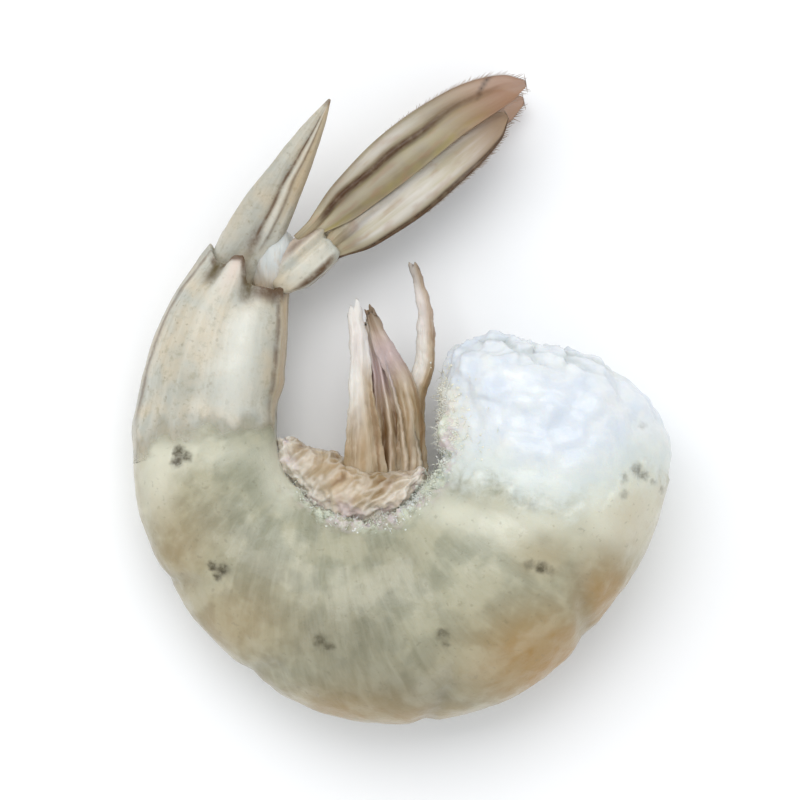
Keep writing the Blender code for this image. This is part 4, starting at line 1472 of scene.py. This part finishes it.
class SHRIMP_OT_belly_tissue(bpy.types.Operator):
    """Model the torn skin of the belly and the stumps of the swimming legs"""

    bl_idname = "shrimp.belly_tissue"
    bl_label = "Belly Tissue"

    def execute(self, context):
        pieces = [self.pad(), *(self.strand(strand) for strand in STRANDS)]
        obj = join("belly_tissue_skin", pieces)
        finish_piece(obj, material(context, "tissue"), "tissue", "belly_tissue")
        return {"FINISHED"}

    def pad(self):
        """A swept pad along the belly, folded across, whose rims run under the flesh's torn edge."""
        knots = [(SPINE.places[name], thickness) for name, thickness in TISSUE_THICKNESS]
        low, high = knots[0][0] + TISSUE_START, knots[-1][0]
        sections = []
        for share in np.linspace(0, 1, 18):
            travel = low + (high - low) * share
            body = SPINE.section(travel)
            swell = math.sin(math.pi * (0.06 + 0.88 * share)) ** 0.6
            half_angle = math.radians(TISSUE_ANGLE * swell)
            belly = heading_vector(body.heading + 90)
            rim = body.across * math.cos(half_angle) - TISSUE_SUNK
            top = body.across + float(ease(knots, travel))
            middle = body.middle + belly * (rim + top) / 2
            sections.append(Section(middle, body.heading, (top - rim) / 2, body.up * math.sin(half_angle)))
        obj = sweep("belly_pad", sections, 20)
        subdivide(obj, 3)
        co = points_of(obj)
        _, _, out = SPINE.locate(co)
        along, aside = (co[:, 0] + co[:, 1]) * 0.7, (co[:, 1] - co[:, 0]) * 0.7
        drawn = np.stack([along / 4.5, aside / 1.1, co[:, 2] / 1.4], axis=1)
        ridge = 1 - 2 * np.abs(lumps(drawn, 1.0, 4.0, 2))
        height = 0.2 * ridge + 0.2 * lumps(co, 2.2, 7.0, 3) + 0.1 * lumps(co, 0.8, 3.0) - 0.2
        rim = smooth_step(1.3, 1.08, out)
        height -= rim * (0.25 + 0.5 * lumps(co, 1.6, 9.0, 3))
        push_out(obj, height)
        brown = 0.4 * bell(np.hypot(co[:, 0] + 0.5, (co[:, 1] + 6.0) * 0.8), 3.0)
        left = smooth_step(-6.5, -10.0, co[:, 0]) * 0.12
        # dark holds painted shade in the troughs between the ridges and a brown patch; pale holds painted
        # light on the ridge crests, and the paler rim and left end
        mark(
            obj,
            travel=along,
            girth=aside + co[:, 2] * 0.5,
            dark=smooth_step(0.4, -0.5, ridge) * 0.7 + brown,
            pale=smooth_step(0.45, 0.95, ridge) * 0.3 + 0.4 * smooth_step(1.25, 1.05, out) + left,
            pink=0.55 * smooth_step(0.1, 0.5, lumps(co, 2.0, 11.0)) * smooth_step(1.3, 1.12, out),
            tip=0,
            thick=1,
        )
        return obj

    def strand(self, strand):
        """One torn strip that follows its points, pleated lengthwise."""
        last = len(strand.points) - 1
        knots = [list(enumerate(values)) for values in zip(*strand.points)]
        widths = list(enumerate(strand.half_widths))
        sections = []
        for place in np.linspace(0, last, 22):
            behind, middle, ahead = (
                Vector([float(ease(k, min(max(place + step, 0), last))) for k in knots])
                for step in (-0.2, 0, 0.2)
            )
            way = ahead - behind
            heading = math.degrees(math.atan2(way.y, way.x))
            sections.append(Section(middle, heading, float(ease(widths, place)), strand.thickness / 2))
        obj = sweep(f"strand_{strand.name}", sections, 20)
        subdivide(obj, 2)
        co = points_of(obj)
        share, side = self.nearest(co, sections)
        fold = np.cos(side * math.pi * strand.pleats + share * 2.0 + 1.2 * lumps(co, 3.0, 6.0))
        co[:, 2] += strand.pleat_depth * fold * smooth_step(1.0, 0.7, share)
        ragged = smooth_step(0.9, 1.0, share)
        along = np.array(heading_vector(sections[-1].heading))
        co += along * (ragged * 1.3 * lumps(co, 0.7, 3.0))[:, None]
        co += normals_of(obj) * (0.16 * lumps(co, 1.4, 5.0, 3))[:, None]
        move_points(obj, co)
        mark(
            obj,
            travel=share * 18,
            girth=side * 2.5,
            dark=self.darkness(strand.name, share, side, fold),
            pale=self.paleness(strand.name, share, side, fold),
            tip=smooth_step(0.84, 0.98, share) * strand.dark_tip,
            pink=self.pinkness(strand.name, share),
            thick=smooth_step(1.0, 0.55, np.abs(side)) * 0.7 + 0.3,
        )
        return obj

    def nearest(self, co, sections):
        """Share of the strand's length and side from -1 to 1 of each point."""
        middles = np.array([s.middle for s in sections])
        far = np.linalg.norm(co[:, None, :2] - middles[None, :, :2], axis=2)
        i = far.argmin(axis=1)
        left = np.array([heading_vector(s.heading + 90) for s in sections])
        ahead = np.array([heading_vector(s.heading) for s in sections])
        step = np.linalg.norm(middles[-1] - middles[0]) / (len(sections) - 1)
        apart = co - middles[i]
        share = (i + np.clip((apart * ahead[i]).sum(axis=1) / step, -0.5, 0.5)) / (len(sections) - 1)
        side = (apart * left[i]).sum(axis=1) / np.array([s.across for s in sections])[i]
        return np.clip(share, 0, 1), np.clip(side, -1.2, 1.2)

    def darkness(self, name, share, side, fold):
        # Painted shade in the troughs of the pleats
        trough_shade = smooth_step(0.1, -0.9, fold)
        if name == "web":
            return (0.5 + 0.6 * trough_shade) * smooth_step(0.85, 0.5, share)
        if name == "rear":
            return (0.35 * smooth_step(0.0, -0.9, side) + 0.35 * trough_shade) * smooth_step(0.7, 0.2, share)
        if name == "middle":
            return 0.2 * trough_shade + 0.35 * smooth_step(0.6, 0.1, share) + 0.3 * smooth_step(-0.4, -0.9, side)
        return 0.5 * smooth_step(-0.3, -0.9, side)

    def pinkness(self, name, share):
        if name in ("middle", "web"):
            return 0.8 * bell(share - 0.72, 0.16)
        return 0.25 * bell(share - 0.8, 0.2)

    def paleness(self, name, share, side, fold):
        # Painted light on the crests of the pleats
        crest_light = smooth_step(0.4, 1.0, fold)
        if name == "rear":
            whole = np.maximum(smooth_step(-0.8, 0.4, side), smooth_step(0.5, 0.75, share))
            return 0.95 * whole * smooth_step(0.15, 0.6, share)
        if name == "front":
            return 0.85 * smooth_step(-0.6, 0.3, side) * smooth_step(0.1, 0.4, share)
        if name == "web":
            return 0.2 * crest_light + 0.3 * smooth_step(0.6, 0.9, share)
        return 0.15 * crest_light


# Loose threads of torn muscle


TORN_THREADS = {1: 1400, -1: 300}  # tries along the torn edge, on the upper flank and on the lower
NECK_THREADS = {1: 900, -1: 250}  # and below the neck
THREAD_REACH = 1.2  # no thread grows where the surface is farther off
CRUMB_SINK = 0.6  # in shares of its size


class SHRIMP_OT_shreds(bpy.types.Operator):
    """Scatter the crumbs and short threads of torn muscle along the torn edges of the flesh"""

    bl_idname = "shrimp.shreds"
    bl_label = "Torn Muscle Threads"

    def execute(self, context):
        sizes = context.scene.shrimp_sizes
        draw = random.Random(sizes.seed)
        surfaces = [surface_of(name) for name in ("raw_flesh", "belly_tissue_skin")]
        thread, crumb = self.one_shred(), self.one_crumb()
        pieces = []
        for at, way, out, long, yellow in self.places(draw, sizes.thread / MM):
            hits = [surface.find_nearest((at + BOX_SHIFT) * MM) for surface in surfaces]
            on, out, _, far = min(hits, key=lambda hit: hit[3])
            if far > THREAD_REACH * MM:
                continue
            at = on / MM - BOX_SHIFT
            way = (way - out * min(way.dot(out) - 0.15, 0)).normalized()
            fine = draw.random() < 0.3
            wide = draw.uniform(0.04, 0.09) if fine else draw.triangular(0.07, 0.26, 0.1)
            scale = (wide, wide * 0.6, long)
            if not fine:
                scale = (wide, wide * draw.uniform(0.6, 1.0), wide * draw.uniform(0.8, 1.7))
            side = way.cross(out).normalized()
            axes = Matrix((side, way.cross(side), way)).transposed().to_4x4()
            sunk = at - out * (0.05 if fine else wide * CRUMB_SINK)
            place = Matrix.Translation(sunk) @ axes @ Matrix.Diagonal((*scale, 1))
            shred = copy_of(thread if fine else crumb, place)
            mark(shred, pale=yellow)
            pieces.append(shred)
        bpy.data.objects.remove(thread)
        bpy.data.objects.remove(crumb)
        obj = join("torn_muscle_threads", pieces)
        co = points_of(obj)
        co += 0.06 * np.stack([lumps(co, 0.4, seed) for seed in (1.0, 2.0, 3.0)], axis=1)
        co[:, 2] = np.maximum(co[:, 2], 0.06)
        move_points(obj, co)
        finish_piece(obj, material(context, "shreds"), "flesh")
        return {"FINISHED"}

    def one_crumb(self):
        """A round crumb of torn muscle, one unit in radius."""
        only(None)
        bpy.ops.mesh.primitive_ico_sphere_add(subdivisions=1, radius=1.0)
        return new_piece("crumb")

    def one_shred(self):
        """A curved thread, one unit long, thick at its root and pointed at its tip."""
        only(None)
        bpy.ops.mesh.primitive_cylinder_add(vertices=5, radius=1.0, depth=0.25)
        shred = new_piece("thread")
        for face in shred.data.polygons:
            face.select = face.normal.z > 0.9
        bpy.ops.object.mode_set(mode="EDIT")
        bpy.ops.mesh.select_mode(type="FACE")
        for step, size, lean in ((0.35, 0.9, 0.15), (0.35, 0.65, 0.3), (0.3, 0.3, 0.35)):
            bpy.ops.mesh.extrude_region_move(TRANSFORM_OT_translate={"value": (0, lean, step)})
            bpy.ops.transform.resize(value=(size, size, 1))
        bpy.ops.mesh.select_all(action="SELECT")
        bpy.ops.mesh.normals_make_consistent(inside=False)
        bpy.ops.object.mode_set(mode="OBJECT")
        return shred

    def places(self, draw, longest):
        """(root, direction, outwards, length, yellowness) of each thread."""
        low, high = SPINE.places["joint_5_4"] - 1.5, NECK + 3
        for flank in (1, -1):
            for _ in range(TORN_THREADS[flank]):
                travel = draw.triangular(low, high, (low + high) / 2)
                angle = math.radians(draw.gauss(TORN_ANGLE + 5, 7))
                long = longest * draw.uniform(0.12, 0.5)
                yield self.on_flank(draw, travel, angle, flank, long)
        for flank in (1, -1):
            for _ in range(NECK_THREADS[flank]):
                travel = draw.triangular(NECK - 8, NECK + 5.0, NECK - 3)
                angle = math.radians(180 - abs(draw.gauss(0, 20)))
                long = longest * draw.uniform(0.15, 0.5)
                yield self.on_flank(draw, travel, angle, flank, long, draw.uniform(0.4, 1))

    def on_flank(self, draw, travel, angle, flank, long, yellow=None):
        """One thread's place on the section's outline, and the ways it points."""
        section = SPINE.section(min(travel, NECK))
        size = 1.0
        middle = section.middle.copy()
        if travel > NECK:
            share = (travel - NECK) / NECK_LENGTH
            size = (1 - share**NECK_ROUNDING) ** (1 / NECK_ROUNDING)
            middle += heading_vector(NECK_HEADING) * (travel - NECK)
        belly = heading_vector(section.heading + 90)
        out = (belly * -math.cos(angle) + Vector((0, 0, math.sin(angle) * flank))).normalized()
        at = middle - belly * math.cos(angle) * section.across * size
        at.z += math.sin(angle) * section.up * size * flank
        along = heading_vector(section.heading)
        round_ = out.cross(along) * flank
        way = round_ * draw.uniform(-0.2, 1.0) + along * draw.uniform(-0.9, 0.9)
        way = (way + out * draw.uniform(0.15, 0.6)).normalized()
        if yellow is None:
            yellow = draw.uniform(0, 0.35)
        return at - out * 0.15, way, out, long, yellow


# Stage


LENS = 200.0
FRAME_WIDTH = 78.0  # what the camera sees of the table's plane, side to side
FLOOR_SIZE = 3.0  # metres, as are the lamps' numbers
SKY = (0.93, 0.96, 1.0, 1)
SKY_STRENGTH = 0.72
# Soft lamps: name, width and height, power, place, what it points at
LAMPS = (
    ("soft_top", (0.5, 0.35), 1.42, (-0.05, 0.24, 0.45), (0, 0, 0)),
    ("soft_left", (0.3, 0.3), 0.25, (-0.42, -0.05, 0.24), (0, 0, 0.01)),
    ("soft_low", (0.4, 0.2), 0.3, (0.16, -0.40, 0.18), (0, 0, 0.01)),
)


def add_lamp(name, size, power, place, aim):
    data = bpy.data.lights.new(name, "AREA")
    data.shape = "RECTANGLE"
    data.size, data.size_y = size
    data.energy = power
    obj = bpy.data.objects.new(name, data)
    bpy.context.scene.collection.objects.link(obj)
    obj.location = place
    obj.rotation_mode = "QUATERNION"
    obj.rotation_quaternion = (Vector(aim) - Vector(place)).to_track_quat("-Z", "Y")


class SHRIMP_OT_stage(bpy.types.Operator):
    """Set the floor, the soft lights and the camera that looks down on the shrimp"""

    bl_idname = "shrimp.stage"
    bl_label = "Stage"

    def execute(self, context):
        only(None)
        bpy.ops.mesh.primitive_plane_add(size=FLOOR_SIZE, location=(0, 0, 0))
        floor = new_piece("floor")
        s = Wet("floor_paper", 0.7, (0.0, 1.0), 0.0)
        grain = s.clouds(s.place(), 40.0, 2)
        base = context.scene.shrimp_colours.floor
        tone = s.mix(s.times(grain, 0.04), tuple(base), tuple(c * 0.9 for c in base))
        floor.data.materials.append(s.finish(tone))
        floor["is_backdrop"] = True
        world = context.scene.world or bpy.data.worlds.new("studio")
        context.scene.world = world
        world.use_nodes = True
        world.node_tree.nodes["Background"].inputs["Color"].default_value = SKY
        world.node_tree.nodes["Background"].inputs["Strength"].default_value = SKY_STRENGTH
        for lamp in LAMPS:
            add_lamp(*lamp)
        camera = bpy.data.objects.new("camera", bpy.data.cameras.new("camera"))
        context.scene.collection.objects.link(camera)
        camera.data.lens = LENS
        half = camera.data.sensor_width / 2 / LENS
        camera.location = (0, 0, FRAME_WIDTH * MM / 2 / half + 0.008)
        camera.data.clip_start, camera.data.clip_end = 0.01, 10
        context.scene.camera = camera
        context.scene.view_settings.view_transform = "Standard"
        return {"FINISHED"}


class SHRIMP_PT_panel(bpy.types.Panel):
    """The shrimp's settings and steps, in the order in which they are made"""

    bl_label = "Raw Peeled Shrimp"
    bl_space_type = "VIEW_3D"
    bl_region_type = "UI"
    bl_category = "Shrimp"

    def draw(self, context):
        for group in (context.scene.shrimp_sizes, context.scene.shrimp_colours):
            box = self.layout.box()
            for name in group.__annotations__:
                box.prop(group, name)
        for step in STEPS:
            self.layout.operator(step.bl_idname)


STEPS = (
    SHRIMP_OT_flesh,
    SHRIMP_OT_tail_shell,
    SHRIMP_OT_telson,
    SHRIMP_OT_joint_skin,
    SHRIMP_OT_uropod_bases,
    SHRIMP_OT_blades,
    SHRIMP_OT_belly_tissue,
    SHRIMP_OT_shreds,
    SHRIMP_OT_stage,
)
CLASSES = (ShrimpSizes, ShrimpColours, *STEPS, SHRIMP_PT_panel)


def register():
    for cls in CLASSES:
        bpy.utils.register_class(cls)
    bpy.types.Scene.shrimp_sizes = PointerProperty(type=ShrimpSizes)
    bpy.types.Scene.shrimp_colours = PointerProperty(type=ShrimpColours)


def unregister():
    del bpy.types.Scene.shrimp_colours
    del bpy.types.Scene.shrimp_sizes
    for cls in reversed(CLASSES):
        bpy.utils.unregister_class(cls)


def main():
    register()
    for step in STEPS:
        family, name = step.bl_idname.split(".")
        getattr(getattr(bpy.ops, family), name)()
    boxes = {"cad": CAD_BOX, "visual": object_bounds()}
    {name: [list(corner) for corner in corners] for name, corners in boxes.items()}


if __name__ == "__main__":
    main()
